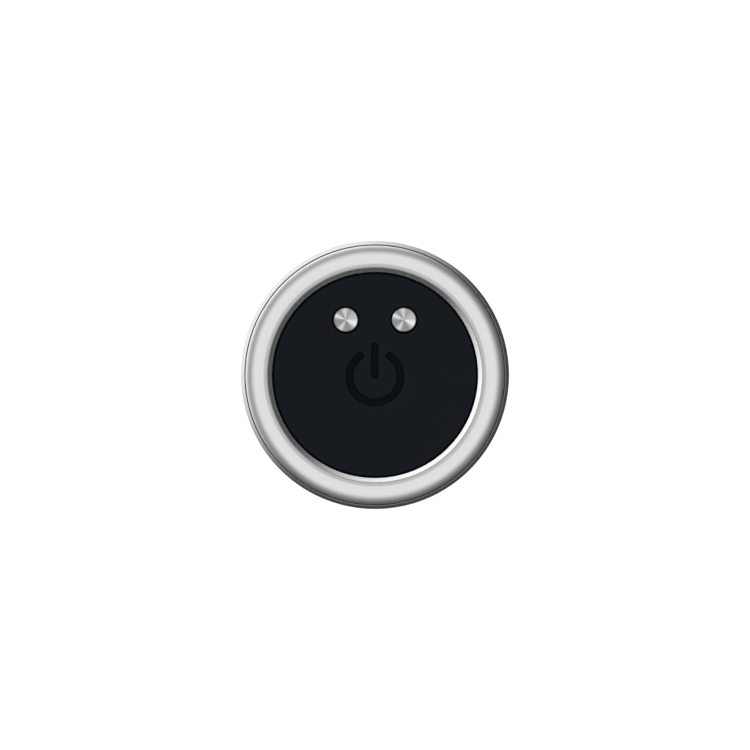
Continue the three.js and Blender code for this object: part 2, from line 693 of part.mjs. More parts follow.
// A sled slides into the tube above the motor and carries the mains board.
function addElectronics() {
  const shelfTop = chassisBottom + chassis.wall;
  const spineTop = shelfTop + chassis.height;
  const half = bodyInner - chassis.sideGap;
  const spine = block([-half, half], [chassis.back, chassis.back + chassis.wall],
    [shelfTop - past, spineTop]);
  const topRib = block([-half, half], [chassis.back - chassis.shelf, chassis.back + chassis.wall],
    [spineTop - chassis.wall, spineTop]);
  const shelf = ring(chassis.wireHole, bodyInner - 2 * pressGap, chassisBottom, shelfTop);
  add('chassis', join(shelf, spine, topRib), blackPlastic);

  const boardFront = chassis.back - seatGap - powerBoard.thickness;
  const boardHalf = half - powerBoard.inset;
  const board = block([-boardHalf, boardHalf], [boardFront, boardFront + powerBoard.thickness],
    [boardBottom, boardBottom + powerBoard.height]);
  add('power_board', board, boardGreen);
  const front = boardFront - seatGap;
  const scale = bodyInner / boardBore;
  const placed = ({ x, depth, z }) => block(x.map((value) => value * scale), [front - depth * scale, front],
    z.map((value) => boardBottom + value));
  add('transformer', placed(transformer), componentBlack);
  add('relay', placed(relay), componentBlue);
  add('triac', placed(triac), componentBlack);
  const canRadius = capacitor.radius * scale;
  const can = turned([
    [0, 0],
    [canRadius - capacitor.chamfer / 2, 0],
    [canRadius, capacitor.chamfer],
    [canRadius, capacitor.height - capacitor.chamfer],
    [canRadius - capacitor.chamfer / 2, capacitor.height],
    [0, capacitor.height],
  ], smallSides);
  const canY = front - canRadius - seatGap;
  add('capacitor', can, componentBlue).position.set(capacitor.x * scale, canY, boardBottom + capacitor.rise);

  // The heat sink is a comb of fins standing off the triac.
  const comb = new THREE.Shape();
  const width = heatSink.width * scale;
  const finTip = -(heatSink.plate + heatSink.finDepth) * scale;
  const root = -heatSink.plate * scale;
  const pitch = (width - heatSink.finWidth) / (heatSink.fins - 1);
  comb.moveTo(0, 0);
  for (let i = 0; i < heatSink.fins; i++) {
    const left = i * pitch;
    if (i > 0) comb.lineTo(left, root);
    comb.lineTo(left, finTip);
    comb.lineTo(left + heatSink.finWidth, finTip);
    if (i < heatSink.fins - 1) comb.lineTo(left + heatSink.finWidth, root);
  }
  comb.lineTo(width, 0);
  const [sinkLow, sinkTop] = heatSink.z.map((value) => boardBottom + value);
  const sink = prism(comb, sinkLow, sinkTop);
  add('heat_sink', at(sink, heatSink.left * scale, front - triac.depth * scale - seatGap), aluminium);
}

// ------------------------------------------------------------------ the wet end

function addShaftParts() {
  const steel = turned([
    [0, shaftBottom],
    [shaft.radius, shaftBottom],
    [shaft.radius, couplingMiddle - coupling.shaftGap / 2],
    [0, couplingMiddle - coupling.shaftGap / 2],
  ], smallSides);
  add('drive_shaft', steel, stainless);

  const lowerBore = shaft.radius + seatGap;
  const upperBore = rotor.shaft + seatGap;
  const joiner = turned([
    [lowerBore, couplingBottom],
    [shaft.radius + coupling.wall, couplingBottom],
    [shaft.radius + coupling.wall, couplingTop],
    [upperBore, couplingTop],
    [upperBore, couplingMiddle],
    [lowerBore, couplingMiddle],
  ], smallSides);
  add('shaft_coupling', joiner, aluminium);

  const tubeTop = sealBottom - seatGap;
  add('shaft_tube', ring(shaftTubeBore, shaftTubeRadius, shaftTubeBottom, tubeTop, smallSides), stainless);
  const bushRadius = shaftTubeBore - seatGap;
  const bush = turned([
    [shaft.radius + runGap, shaftTubeBottom - past],
    [shaftTubeRadius, shaftTubeBottom - past],
    [shaftTubeRadius, shaftTubeBottom - seatGap],
    [bushRadius, shaftTubeBottom - seatGap],
    [bushRadius, shaftTubeBottom + shaft.bushLength],
    [shaft.radius + runGap, shaftTubeBottom + shaft.bushLength],
  ], smallSides);
  add('shaft_bush', bush, whitePlastic);
  const lipSeal = ring(shaft.radius + runGap, sealRadius - seatGap, sealBottom + seatGap, flangeTop,
    smallSides);
  add('shaft_seal', lipSeal, rubber);
}

// The impeller throws water out through the cap's ports and draws it down past the heater.
function addImpeller() {
  let wheel = ring(shaft.radius + seatGap, hubRadius, impellerBottom, impellerTop, smallSides);
  const plateTop = impellerBottom + impeller.plate;
  const plate = ring(hubRadius - blade.rootInset, impellerRadius, impellerBottom, plateTop, smallSides);
  wheel = join(wheel, plate);
  const half = blade.thickness / 2;
  const root = hubRadius - blade.rootInset;
  const length = impellerRadius - blade.tipInset - root;
  for (let i = 0; i < impeller.blades; i++) {
    const vane = block([0, length], [-half, half], [plateTop - impeller.plate / 2, impellerTop - past]);
    vane.rotateZ(radians(-blade.sweep)).translate(root, 0, 0);
    wheel = join(wheel, vane.rotateZ(radians((i * 360) / impeller.blades)));
  }
  add('impeller', wheel, blackPlastic);
  const nutLow = shaftBottom - past / 2;
  const nutTop = impellerBottom - seatGap;
  const threadHole = disc(shaft.radius + seatGap, shaftBottom - seatGap, nutTop + past, smallSides);
  const nut = cut(disc(shaft.radius + impeller.nutWall, nutLow, nutTop, 6), threadHole);
  add('impeller_nut', nut, stainless);
}

// The heater goes down one leg, round the coil, and back up inside it.
function addHeater() {
  const coilTop = plateBottom - heater.top;
  const legTop = flangeTop + heater.tail;
  const points = [];
  const put = (radius, degrees, z) => points.push(new THREE.Vector3(...polar(radius, degrees), z));
  put(legRadius, 0, legTop);
  put(legRadius, 0, plateBottom);
  const bend = heaterBend;
  put(legRadius, 0, coilTop + bend.straight);
  put(legRadius + bend.out, 0, coilTop + bend.start);
  const wound = heater.turns * 360;
  const steps = bend.stepsPerTurn * heater.turns;
  for (let i = 0; i <= steps; i++) {
    const reach = Math.min(1, 0.5 + i / bend.spreadSteps);
    put(legRadius + (coilRadius - legRadius) * reach, bend.entry + (i * (wound - bend.unwound)) / steps,
      coilTop - (heater.height * i) / steps);
  }
  const low = coilTop - heater.height;
  put(legRadius + bend.lowOut, wound - bend.lowTurn, low - bend.lowDrop);
  put(legRadius, wound, low + bend.rise);
  put(legRadius, wound, coilTop);
  put(legRadius, wound, plateBottom);
  put(legRadius, wound, legTop);
  const section = new THREE.Shape();
  section.absarc(0, 0, heater.tube, 0, 2 * Math.PI, false);
  const path = new THREE.CatmullRomCurve3(points);
  add('heater_coil', alongPath(section, path, bend.samples, bend.sides), stainless);
}

function addSensors() {
  for (const { name, angle, radius, length } of sensorPlaces) {
    const profile = [
      [0, plateBottom - length],
      [radius * sensor.tip, plateBottom - length],
      [radius, plateBottom - length + radius * sensor.tip],
      [radius, flangeTop + sensor.tail],
      [0, flangeTop + sensor.tail],
    ];
    add(name, turned(profile, tinySides), stainless).position.set(...polar(legRadius, angle), 0);
  }
}

function addSkirt() {
  let tube = ring(skirtInner, bodyRadius, skirtBottom, skirtTop);
  for (let row = 0; row < slot.rows; row++) {
    const low = skirtBottom + slot.firstRow + row * slot.rowStep;
    for (let i = 0; i < slot.count / 2; i++) {
      const across = block([-bodyRadius - past, bodyRadius + past], [-slot.width / 2, slot.width / 2],
        [low, low + slot.height]);
      tube = cut(tube, across.rotateZ(radians(slot.turn + (i * 360) / slot.count)));
    }
  }
  add('skirt_tube', tube, stainless);

  // The collar's groove takes the bulkhead's lugs, which enter by a gap at the end of the twist.
  const spigot = skirtInner - pressGap;
  const grooveLow = lugBottom - moveGap;
  const grooveTop = lugBottom + collar.lugHeight + moveGap;
  let band = turned([
    [collarBore, collarShoulder - collar.spigot],
    [spigot, collarShoulder - collar.spigot],
    [spigot, collarShoulder],
    [bodyRadius, collarShoulder],
    [bodyRadius, collarTop],
    [collarBore, collarTop],
    [collarBore, grooveTop],
    [grooveRadius, grooveTop],
    [grooveRadius, grooveLow],
    [collarBore, grooveLow],
  ]);
  for (const angle of lugAngles) {
    const middle = angle - collar.twist;
    const half = collar.lugAngle + collar.play;
    const [from, to] = [middle - half, middle + half];
    const entry = sector(collarBore - past, grooveRadius, from, to, grooveTop - past, collarTop + past);
    band = cut(band, entry);
  }
  add('skirt_collar', band, blackPlastic);
}

function addFoot() {
  const spigot = skirtInner - pressGap;
  const pocket = foot.magnetRadius + pressGap;
  const pocketTop = capBottom + foot.magnetThickness + 2 * seatGap;
  let cup = turned([
    [0, pocketTop],
    [pocket, pocketTop],
    [pocket, capBottom],
    [bodyRadius - cap.chamfer, capBottom],
    [bodyRadius, capBottom + cap.chamfer],
    [bodyRadius, capShoulder],
    [spigot, capShoulder],
    [spigot, capShoulder + cap.spigot],
    [capInner, capShoulder + cap.spigot],
    [capInner, capFloorTop],
    [0, capFloorTop],
  ]);
  for (let i = 0; i < cap.ports / 2; i++) {
    const across = block([-bodyRadius - past, bodyRadius + past], [-cap.portWidth / 2, cap.portWidth / 2],
      [portBottom, portTop]);
    cup = cut(cup, across.rotateZ(radians((i * 360) / cap.ports)));
  }
  add('bottom_cap', cup, blackPlastic);
  const magnetLow = capBottom + seatGap;
  const magnet = disc(foot.magnetRadius, magnetLow, magnetLow + foot.magnetThickness, smallSides);
  add('foot_magnet', magnet, magnetGrey);
  const padRadius = bodyRadius - foot.inset;
  const pad = turned([
    [0, 0],
    [padRadius - foot.chamfer, 0],
    [padRadius, foot.chamfer],
    [padRadius, foot.thickness],
    [0, foot.thickness],
  ]);
  add('foot_pad', pad, rubber);
}

// ------------------------------------------------------------------ the clip, in a group at its pin

function addClip() {
  const pinGroup = new THREE.Group();
  pinGroup.position.set(0, clipPinY, clipPinZ);
  circulator.add(pinGroup);
  const armHalf = clip.width / 2;
  const earInner = armHalf + moveGap;
  const earOuter = earInner + clipHinge.ear;
  const wallFace = -clipHinge.offset; // the body tube's surface, seen from the pin

  // The bracket lies on the tube and holds the pin between two ears.
  const plateFront = wallFace + bracket.reach;
  const plate = block([-earOuter, earOuter], [wallFace - clipHinge.offset, plateFront],
    [-bracket.below, bracket.above]);
  const ear = (x) => block(x, [wallFace - past, clipHinge.barrel - bracket.earInset],
    [-bracket.above, bracket.above]);
  const ears = [ear([-earOuter, -earInner]), ear([earInner, earOuter])];
  const barrelRoom = block([-earInner, earInner],
    [wallFace - clipHinge.offset - past, clipHinge.barrel + past],
    [-bracket.above, bracket.above + past]);
  const pinHole = alongX(disc(clipHinge.pinRadius + seatGap, -earOuter - past, earOuter + past, smallSides));
  const bodySpace = disc(bodyRadius + pressGap, -clip.length, clip.length).translate(0, -clipPinY, 0);
  const screwHoles = bracketScrewHeights.map((z) =>
    alongY(disc(bracket.screwRadius + pressGap, -headRadius, headRadius, tinySides), z - clipPinZ));
  const bracketBody = join(cut(plate, barrelRoom), ...ears);
  add('clip_bracket', cut(bracketBody, pinHole, bodySpace, ...screwHoles), blackPlastic, pinGroup);

  bracketScrewHeights.forEach((z, i) => {
    const shank = bracket.reach + bodyWall + bracket.bite;
    const part = screw(bracket.screwRadius, shank, bracket.screwHead, bracket.headHeight);
    const seated = add(`bracket_screw_${i + 1}`, alongY(part), stainless, pinGroup);
    seated.position.set(0, plateFront + seatGap, z - clipPinZ);
  });

  const pin = alongX(disc(clipHinge.pinRadius, -earOuter, earOuter, smallSides));
  add('clip_pin', pin, stainless, pinGroup);

  // The arm: an outline in the Y-Z plane, with the jaw below the pin and a canted thumb tab above it.
  const armOuter = armInner + clip.thickness;
  const outline = new THREE.Shape();
  outline.moveTo(armInner, -clip.length);
  outline.lineTo(armOuter - clip.tip, -clip.length - clip.tip);
  outline.lineTo(armOuter, -clip.length + 2 * clip.tip);
  outline.lineTo(armOuter, 2 * clip.tip);
  outline.quadraticCurveTo(armOuter, clip.tab / 2, armOuter + clip.lean, clip.tab);
  outline.lineTo(armInner + clip.lean, clip.tab);
  outline.quadraticCurveTo(armInner, clip.tab / 2, armInner, 2 * clip.tip);
  // The outline is drawn as (Y, Z) and pushed out along X.
  const slab = prism(outline, -armHalf, armHalf, 4);
  slab.applyMatrix4(new THREE.Matrix4().makeBasis(
    new THREE.Vector3(0, 1, 0), new THREE.Vector3(0, 0, 1), new THREE.Vector3(1, 0, 0)));
  const barrel = alongX(disc(clipHinge.barrel, -armHalf, armHalf, smallSides));
  const springRoom = block([-clipHinge.slotWidth / 2, clipHinge.slotWidth / 2],
    [-clipHinge.barrel - past, armInner], [-clipHinge.barrel - past, clipHinge.barrel + past]);
  const armHole = alongX(disc(clipHinge.pinRadius + runGap, -armHalf - past, armHalf + past, smallSides));
  const arm = cut(join(slab, barrel), springRoom, armHole);
  add('clip_arm', arm, blackPlastic, pinGroup);

  const padHalf = armHalf - clipPad.inset;
  const padLow = clipPad.fromTip - clip.length;
  const gripPad = block([-padHalf, padHalf], [armInner - clipPad.thickness, armInner - seatGap],
    [padLow, padLow + clipPad.length]);
  add('clip_pad', gripPad, rubber, pinGroup);

  // The torsion spring: two turns round the pin, one leg on the bracket and one behind the thumb tab.
  const { wire, halfWidth } = spring;
  const legY = plateFront + wire + pressGap;
  const tabY = armInner - wire - pressGap;
  const points = spring.backLeg.map((z) => new THREE.Vector3(-halfWidth, legY, z));
  const steps = Math.round(spring.turns * spring.stepsPerTurn);
  for (let i = 0; i <= steps; i++) {
    const degrees = spring.start - (360 * spring.turns * i) / steps;
    const x = halfWidth * ((2 * i) / steps - 1);
    const [y, z] = polar(spring.coilRadius, degrees);
    points.push(new THREE.Vector3(x, y, z));
  }
  const [bowed, tip] = spring.frontLeg;
  points.push(new THREE.Vector3(halfWidth, tabY - spring.frontBow, bowed));
  points.push(new THREE.Vector3(halfWidth, tabY, tip));
  const section = new THREE.Shape();
  section.absarc(0, 0, wire, 0, 2 * Math.PI, false);
  const path = new THREE.CatmullRomCurve3(points);
  add('clip_spring', alongPath(section, path, spring.samples, spring.sides), stainless, pinGroup);
}

addBezel();
addHeadShell();
addPowerButton();
addKeys();
addDeck();
addControlBoard();
addHeadBase();
addGland();
addBodyTube();
addBulkhead();
addMotorMount();
addMotor();
addElectronics();
addShaftParts();
addImpeller();
addHeater();
addSensors();
addSkirt();
addFoot();
addClip();

export default circulator;
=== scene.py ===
# %% [markdown]
# # A sous vide circulator, from its steel head down to its magnetic foot
# The working model comes first: every part of it is already in place, with its joints, and this file
# gives it its looks. Nothing here moves or resizes a part. New surfaces are worked out as numpy arrays
# and stand in for the plain ones, and every finish is a small network of procedural nodes.

# %% Load the working model
import json
import math

import bmesh
import bpy
import numpy as np
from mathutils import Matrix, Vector
from mathutils.geometry import delaunay_2d_cdt


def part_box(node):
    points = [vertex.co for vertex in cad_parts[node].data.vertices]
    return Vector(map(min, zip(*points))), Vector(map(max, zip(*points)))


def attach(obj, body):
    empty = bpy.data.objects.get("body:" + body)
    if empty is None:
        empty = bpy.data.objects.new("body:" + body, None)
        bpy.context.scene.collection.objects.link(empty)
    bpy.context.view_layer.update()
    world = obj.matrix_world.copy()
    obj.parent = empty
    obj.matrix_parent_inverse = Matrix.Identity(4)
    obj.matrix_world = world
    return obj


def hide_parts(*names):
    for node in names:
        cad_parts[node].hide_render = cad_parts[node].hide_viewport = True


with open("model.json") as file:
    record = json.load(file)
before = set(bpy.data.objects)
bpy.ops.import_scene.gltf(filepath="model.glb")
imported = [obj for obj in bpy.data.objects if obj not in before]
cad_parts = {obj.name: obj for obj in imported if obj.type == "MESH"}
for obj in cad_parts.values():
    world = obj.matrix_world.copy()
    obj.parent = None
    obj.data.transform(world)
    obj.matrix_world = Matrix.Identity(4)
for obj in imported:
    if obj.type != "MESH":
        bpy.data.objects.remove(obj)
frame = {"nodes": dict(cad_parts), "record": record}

MM = 0.001
BODY_OF = {node: body for body, nodes in frame["record"]["behaviour"]["bodies"].items() for node in nodes}
SLOT_OF = {part["node"]: part["material_slot"] for part in frame["record"]["subparts"]}


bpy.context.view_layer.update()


# %% [markdown]
# ## Measures taken from the model
# A part's box tells where it lies. The few sizes that a box can't show, such as the width of a lip or
# the depth of the power symbol, are named here once, in millimetres.

# %% Read radii and heights off the boxes
def low(node, axis=2):
    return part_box(node)[0][axis] / MM


def high(node, axis=2):
    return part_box(node)[1][axis] / MM


def span(node, axis=2):
    return low(node, axis), high(node, axis)


HEAD = high("head_shell", 0)
BODY = high("body_tube", 0)
HEAD_WALL = 0.9
BODY_WALL = 1.6
SKIRT_WALL = 0.8
CAP_WALL = 2.4
SEAT_GAP = 0.05
PRESS_GAP = 0.1
THROAT = 23.0
FACE = 22.55
FACE_DROP = 1.8
CROWN = high("bezel_ring")
FACE_TOP = CROWN - FACE_DROP
BEZEL_OUT = high("bezel_ring", 0)
BUTTON_FLANGE = high("power_button", 0)
KEY_X = (high("right_key", 0) + low("right_key", 0)) / 2
KEY_Y = (high("right_key", 1) + low("right_key", 1)) / 2
KEY = 2.77
KEY_GAP = 0.3
print(f"head {HEAD:.2f}, body {BODY:.2f}, crown {CROWN:.2f}, face {FACE_TOP:.2f},",
      f"keys at {KEY_X:.2f}, {KEY_Y:.2f}")


# %% [markdown]
# ## Four ways of making a surface
# Most of this object was turned, spun or moulded round an axis, so one profile swept round that axis
# gives most of its skins. The corners of a real edge are never sharp: a small round catches a thin
# line of light, and that line is what makes metal and plastic look solid. So every profile is a list
# of corners with a radius each, and a function rounds them before the sweep.

# %% Round the corners of an outline
def rounded(outline, steps=5, closed=True):
    """An outline of (a, b, radius) corners with each corner swept by an arc.

    The arc is a quadratic curve from a point before the corner to a point after it, as far from the
    corner as the radius, or 45 % of the shorter side. A point just outside each end keeps flats flat.
    """
    points = np.array([corner[:2] for corner in outline], float)
    radii = [corner[2] if len(corner) > 2 else 0.0 for corner in outline]
    result = []
    count = len(points)
    for i, radius in enumerate(radii):
        if radius == 0 or (not closed and i in (0, count - 1)):
            result.append(points[i])
            continue
        before = points[i - 1] - points[i]
        after = points[(i + 1) % count] - points[i]
        reach = min(radius, 0.45 * np.linalg.norm(before), 0.45 * np.linalg.norm(after))
        before = before / np.linalg.norm(before) * reach
        after = after / np.linalg.norm(after) * reach
        t = np.linspace(0, 1, steps + 1)[:, None]
        arc = points[i] + (1 - t) ** 2 * before + t ** 2 * after
        result.extend([points[i] + 1.1 * before, *arc, points[i] + 1.1 * after])
    return np.array(result)


# %% Turn arrays of points into a mesh
def mesh_piece(name, vertices, faces, node=None, merge=1e-7):
    """A new object from vertices in millimetres and faces, with doubles merged and smooth shading."""
    mesh = bpy.data.meshes.new(name)
    mesh.from_pydata((np.asarray(vertices) * MM).tolist(), [], [list(face) for face in faces])
    piece = bpy.data.objects.new(name, mesh)
    bpy.context.scene.collection.objects.link(piece)
    work = bmesh.new()
    work.from_mesh(mesh)
    bmesh.ops.remove_doubles(work, verts=work.verts, dist=merge)
    bmesh.ops.recalc_face_normals(work, faces=work.faces)
    work.to_mesh(mesh)
    work.free()
    mesh.polygons.foreach_set("use_smooth", np.ones(len(mesh.polygons), bool))
    if node:
        stands_for(piece, node)
    return piece


def stands_for(piece, node):
    """The piece rides on the node's body and is shown in its place, with the node hidden."""
    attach(piece, BODY_OF[node])
    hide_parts(node)


def grid_faces(rows, columns, wrap_rows=False, wrap_columns=True, offset=0):
    """The quads between neighbours of a grid of points that is stored row by row."""
    i = np.arange(rows if wrap_rows else rows - 1)[:, None]
    j = np.arange(columns if wrap_columns else columns - 1)[None, :]
    i_next = (i + 1) % rows
    j_next = (j + 1) % columns
    quads = np.stack([i * columns + j, i * columns + j_next, i_next * columns + j_next,
                      i_next * columns + j], -1)
    return quads.reshape(-1, 4) + offset


# %% Sweep a profile round the Z axis
def full_turn(count):
    return np.arange(count) * 2 * np.pi / count


def turned_points(profile, turns=192):
    """Every profile point (radius, height) at every angle: x = r cos a, y = r sin a, z = h."""
    angles = full_turn(turns)
    radius = profile[:, 0][:, None]
    x = radius * np.cos(angles)
    y = radius * np.sin(angles)
    z = np.repeat(profile[:, 1][:, None], turns, axis=1)
    return np.stack([x, y, z], -1)


def turned_sheet(profile, turns=192, closes=False):
    """A turned profile as (vertices, faces): an open strip, or a ring whose profile closes."""
    return turned_points(profile, turns).reshape(-1, 3), grid_faces(len(profile), turns, closes)


def turned(name, profile, node=None, turns=192, centre=(0, 0, 0)):
    """A turned piece. A profile that starts on the axis ends there too, and any other one closes."""
    profile = np.asarray(profile, float)
    closes = not (profile[0, 0] == 0 and profile[-1, 0] == 0)
    vertices, faces = turned_sheet(profile, turns, closes)
    return mesh_piece(name, vertices + np.array(centre), faces, node)


# %% [markdown]
# ## The camera and the light
# The circulator is looked at from straight above, with the stick pointing away from the eye, so a
# long lens over the middle of the head keeps its rings concentric. The studio is a bright ceiling, a
# broad soft window low on the upper left, and dark walls elsewhere. Polished metal shows nothing but
# its surroundings, so the dark walls draw the steel's edges as much as the window draws its lights.

# %% Place the camera
VIEW_MM = 166.9
LENS_MM = 100.0
SENSOR_MM = 36.0
camera_data = bpy.data.cameras.new("camera")
camera_data.lens = LENS_MM
camera_data.sensor_width = SENSOR_MM
camera = bpy.data.objects.new("camera", camera_data)
camera.location = (0, 0, (CROWN + VIEW_MM * LENS_MM / SENSOR_MM) * MM)
bpy.context.scene.collection.objects.link(camera)
bpy.context.scene.camera = camera
print(f"camera {camera.location.z:.3f} m up")


# %% Lay a pale floor
FLOOR_RADIUS = 0.5
FLOOR_DROP = 0.0003
FLOOR_SIDES = 96


def floor_disc():
    angles = full_turn(FLOOR_SIDES)
    rim = np.stack([FLOOR_RADIUS * np.cos(angles), FLOOR_RADIUS * np.sin(angles),
                    np.full(FLOOR_SIDES, -FLOOR_DROP)], -1)
    mesh = bpy.data.meshes.new("floor")
    mesh.from_pydata(rim.tolist(), [], [list(range(FLOOR_SIDES))])
    floor = bpy.data.objects.new("floor", mesh)
    bpy.context.scene.collection.objects.link(floor)
    return floor


floor = floor_disc()


# %% Hang the studio round it
class Net:
    """A short way of writing node networks: net.add(type, input=value or socket, ...)."""

    def __init__(self, tree):
        self.tree = tree
        tree.nodes.clear()

    def add(self, kind, settings=None, **inputs):
        node = self.tree.nodes.new(kind)
        for name, value in (settings or {}).items():
            setattr(node, name, value)
        for name, value in inputs.items():
            index = int(name[1:]) if name[0] == "i" and name[1:].isdigit() else name.replace("_", " ")
            socket = node.inputs[index]
            if isinstance(value, bpy.types.NodeSocket):
                self.tree.links.new(value, socket)
            else:
                socket.default_value = value
        return node

    def math(self, operation, *values, clamp=False):
        node = self.add("ShaderNodeMath", {"operation": operation, "use_clamp": clamp})
        for i, value in enumerate(values):
            if isinstance(value, bpy.types.NodeSocket):
                self.tree.links.new(value, node.inputs[i])
            else:
                node.inputs[i].default_value = value
        return node.outputs[0]

    def ramp(self, value, *stops, smooth=True):
        """A colour ramp from (place, grey) or (place, colour) stops."""
        node = self.add("ShaderNodeValToRGB", Fac=value)
        node.color_ramp.interpolation = "EASE" if smooth else "LINEAR"
        while len(node.color_ramp.elements) < len(stops):
            node.color_ramp.elements.new(0.5)
        for element, (place, shade) in zip(node.color_ramp.elements, stops):
            element.position = place
            element.color = (*shade, 1) if isinstance(shade, tuple) else (shade, shade, shade, 1)
        return node.outputs["Color"]


CEILING = 1.04
WINDOW = 1.9
WALLS = 0.06
WINDOW_AZIMUTH = 138.0


def studio_world():
    """Light by direction: a ceiling by height, and a window by height and by angle from its middle."""
    world = bpy.data.worlds.new("studio")
    world.use_nodes = True
    bpy.context.scene.world = world
    net = Net(world.node_tree)
    direction = net.add("ShaderNodeTexCoord").outputs["Generated"]
    parts = net.add("ShaderNodeSeparateXYZ", Vector=direction).outputs
    x, y, z = parts
    flat = net.math("SQRT", net.math("ADD", net.math("MULTIPLY", x, x), net.math("MULTIPLY", y, y)))
    azimuth = math.radians(WINDOW_AZIMUTH)
    toward = net.math("ADD", net.math("MULTIPLY", x, math.cos(azimuth)),
                      net.math("MULTIPLY", y, math.sin(azimuth)))
    facing = net.math("DIVIDE", toward, net.math("MAXIMUM", flat, 1e-4))
    across = net.ramp(net.math("MULTIPLY_ADD", facing, 0.5, 0.5), (0.45, 0.0), (0.95, 1.0))
    up = net.ramp(net.math("MULTIPLY_ADD", z, 0.5, 0.5), (0.44, 0.0), (0.48, 1.0), (0.58, 1.0), (0.64, 0.0))
    window = net.math("MULTIPLY", net.math("MULTIPLY", across, up), WINDOW)
    ceiling = net.math("MULTIPLY", net.ramp(z, (0.18, 0.0), (0.75, 0.92), (1.0, 1.0), smooth=False),
                       CEILING)
    light = net.math("ADD", net.math("ADD", window, ceiling), WALLS)
    lit = net.add("ShaderNodeBackground", Color=(1, 1, 1, 1), Strength=light)
    seen = net.add("ShaderNodeBackground", Color=(1, 1, 1, 1), Strength=1.0)
    path = net.add("ShaderNodeLightPath").outputs["Is Camera Ray"]
    mix = net.add("ShaderNodeMixShader", i0=path, i1=lit.outputs[0], i2=seen.outputs[0])
    net.add("ShaderNodeOutputWorld", Surface=mix.outputs[0])


studio_world()
bpy.context.scene.view_settings.view_transform = "Standard"
bpy.context.scene.view_settings.look = "None"


# %% [markdown]
# ## The finishes
# Steel that is spun or turned carries thousands of fine circular scratches. They do two things: a
# very shallow ripple that breaks reflections up, and a stretch of every highlight across the scratches,
# which the shader's anisotropy gives with a tangent that runs round the axis. Moulded plastic has a
# fine grain from the etched mould, and rubber a softer, duller one. Each finish below is one function
# of a few values, so that a slot's colour, scale and roughness are chosen where it is used.

# %% Helpers that all finishes share
def finish(name):
    material = bpy.data.materials.new(name)
    material.use_nodes = True
    return material, Net(material.node_tree)


def place(net, centre=(0, 0, 0)):
    """Object coordinates in metres, with the origin moved to a centre in millimetres."""
    here = net.add("ShaderNodeTexCoord").outputs["Object"]
    shift = tuple(-value * MM for value in centre)
    return net.add("ShaderNodeMapping", {"vector_type": "POINT"}, Vector=here, Location=shift).outputs[0]


def noise(net, vector, per_mm, detail=3.0, roughness=0.55):
    node = net.add("ShaderNodeTexNoise", Vector=vector, Scale=per_mm / MM, Detail=detail,
                   Roughness=roughness)
    return node.outputs[0]


def stretched(net, vector, x, y, z):
    return net.add("ShaderNodeMapping", {"vector_type": "POINT"}, Vector=vector, Scale=(x, y, z)).outputs[0]


def vector_math(net, operation, *values):
    inputs = {f"i{i}": value for i, value in enumerate(values)}
    node = net.add("ShaderNodeVectorMath", {"operation": operation}, **inputs)
    return node.outputs["Value" if operation in ("LENGTH", "DOT_PRODUCT") else "Vector"]


def flattened(net, vector):
    return vector_math(net, "MULTIPLY", vector, (1, 1, 0))


def radius_of(net, vector):
    return vector_math(net, "LENGTH", flattened(net, vector))


def weighed(net, first, second, share):
    """The first pattern by its share, plus the second by what is left of one."""
    return net.math("ADD", net.math("MULTIPLY", first, share), net.math("MULTIPLY", second, 1 - share))


def between(net, value, low_value, high_value):
    """A 0 to 1 pattern spread between two numbers."""
    return net.math("MULTIPLY_ADD", value, high_value - low_value, low_value)


def bump(net, height, depth_mm, strength=1.0):
    return net.add("ShaderNodeBump", Height=height, Strength=strength, Distance=depth_mm * MM).outputs[0]


def tint(net, value, dark, light):
    mix = net.add("ShaderNodeMix", {"data_type": "RGBA"}, i0=value, i6=(*dark, 1), i7=(*light, 1))
    return mix.outputs[2]


def tangent_round_z(net):
    return net.add("ShaderNodeTangent", {"direction_type": "RADIAL", "axis": "Z"}).outputs[0]


def close(net, **inputs):
    shader = net.add("ShaderNodeBsdfPrincipled", **inputs)
    net.add("ShaderNodeOutputMaterial", Surface=shader.outputs[0])


# %% Steel and aluminium turned round an axis
def turned_metal(name, dark, light, rough, ring_mm, ripple_mm, anisotropy, centre=(0, 0, 0), shading=None):
    """Scratches are noise read along the distance from the axis, wavering slightly round it.

    A shading function, if one is given, adds a factor of its own on the colour, such as the keys' painted
    highlight rays and painted shade.
    """
    material, net = finish(name)
    here = place(net, centre)
    radius = radius_of(net, here)
    wander = net.math("MULTIPLY", noise(net, here, 0.25, 2), ring_mm * 3 * MM)
    height = net.add("ShaderNodeSeparateXYZ", Vector=here).outputs[2]
    line = net.add("ShaderNodeCombineXYZ", X=net.math("ADD", radius, wander), Y=height).outputs[0]
    fine = noise(net, line, 1 / ring_mm, 4, 0.7)
    broad = noise(net, line, 0.9, 2)
    smudge = noise(net, here, 0.12, 4)
    shade = weighed(net, fine, broad, 0.6)
    roughness = net.math("ADD", between(net, shade, rough[0], rough[1]), between(net, smudge, -0.02, 0.02))
    colour = tint(net, shade, dark, light)
    # Painted light: the shading factor, painted highlight and painted shade, is multiplied into the colour
    # here.
    if shading:
        colour = net.add("ShaderNodeMix", {"data_type": "RGBA", "blend_type": "MULTIPLY"}, i0=1.0,
                         i6=colour,
                         i7=shading(net, here)).outputs[2]
    close(net, Base_Color=colour, Metallic=1.0, Roughness=roughness, Anisotropic=anisotropy,
          Tangent=tangent_round_z(net), Normal=bump(net, fine, ripple_mm))
    return material


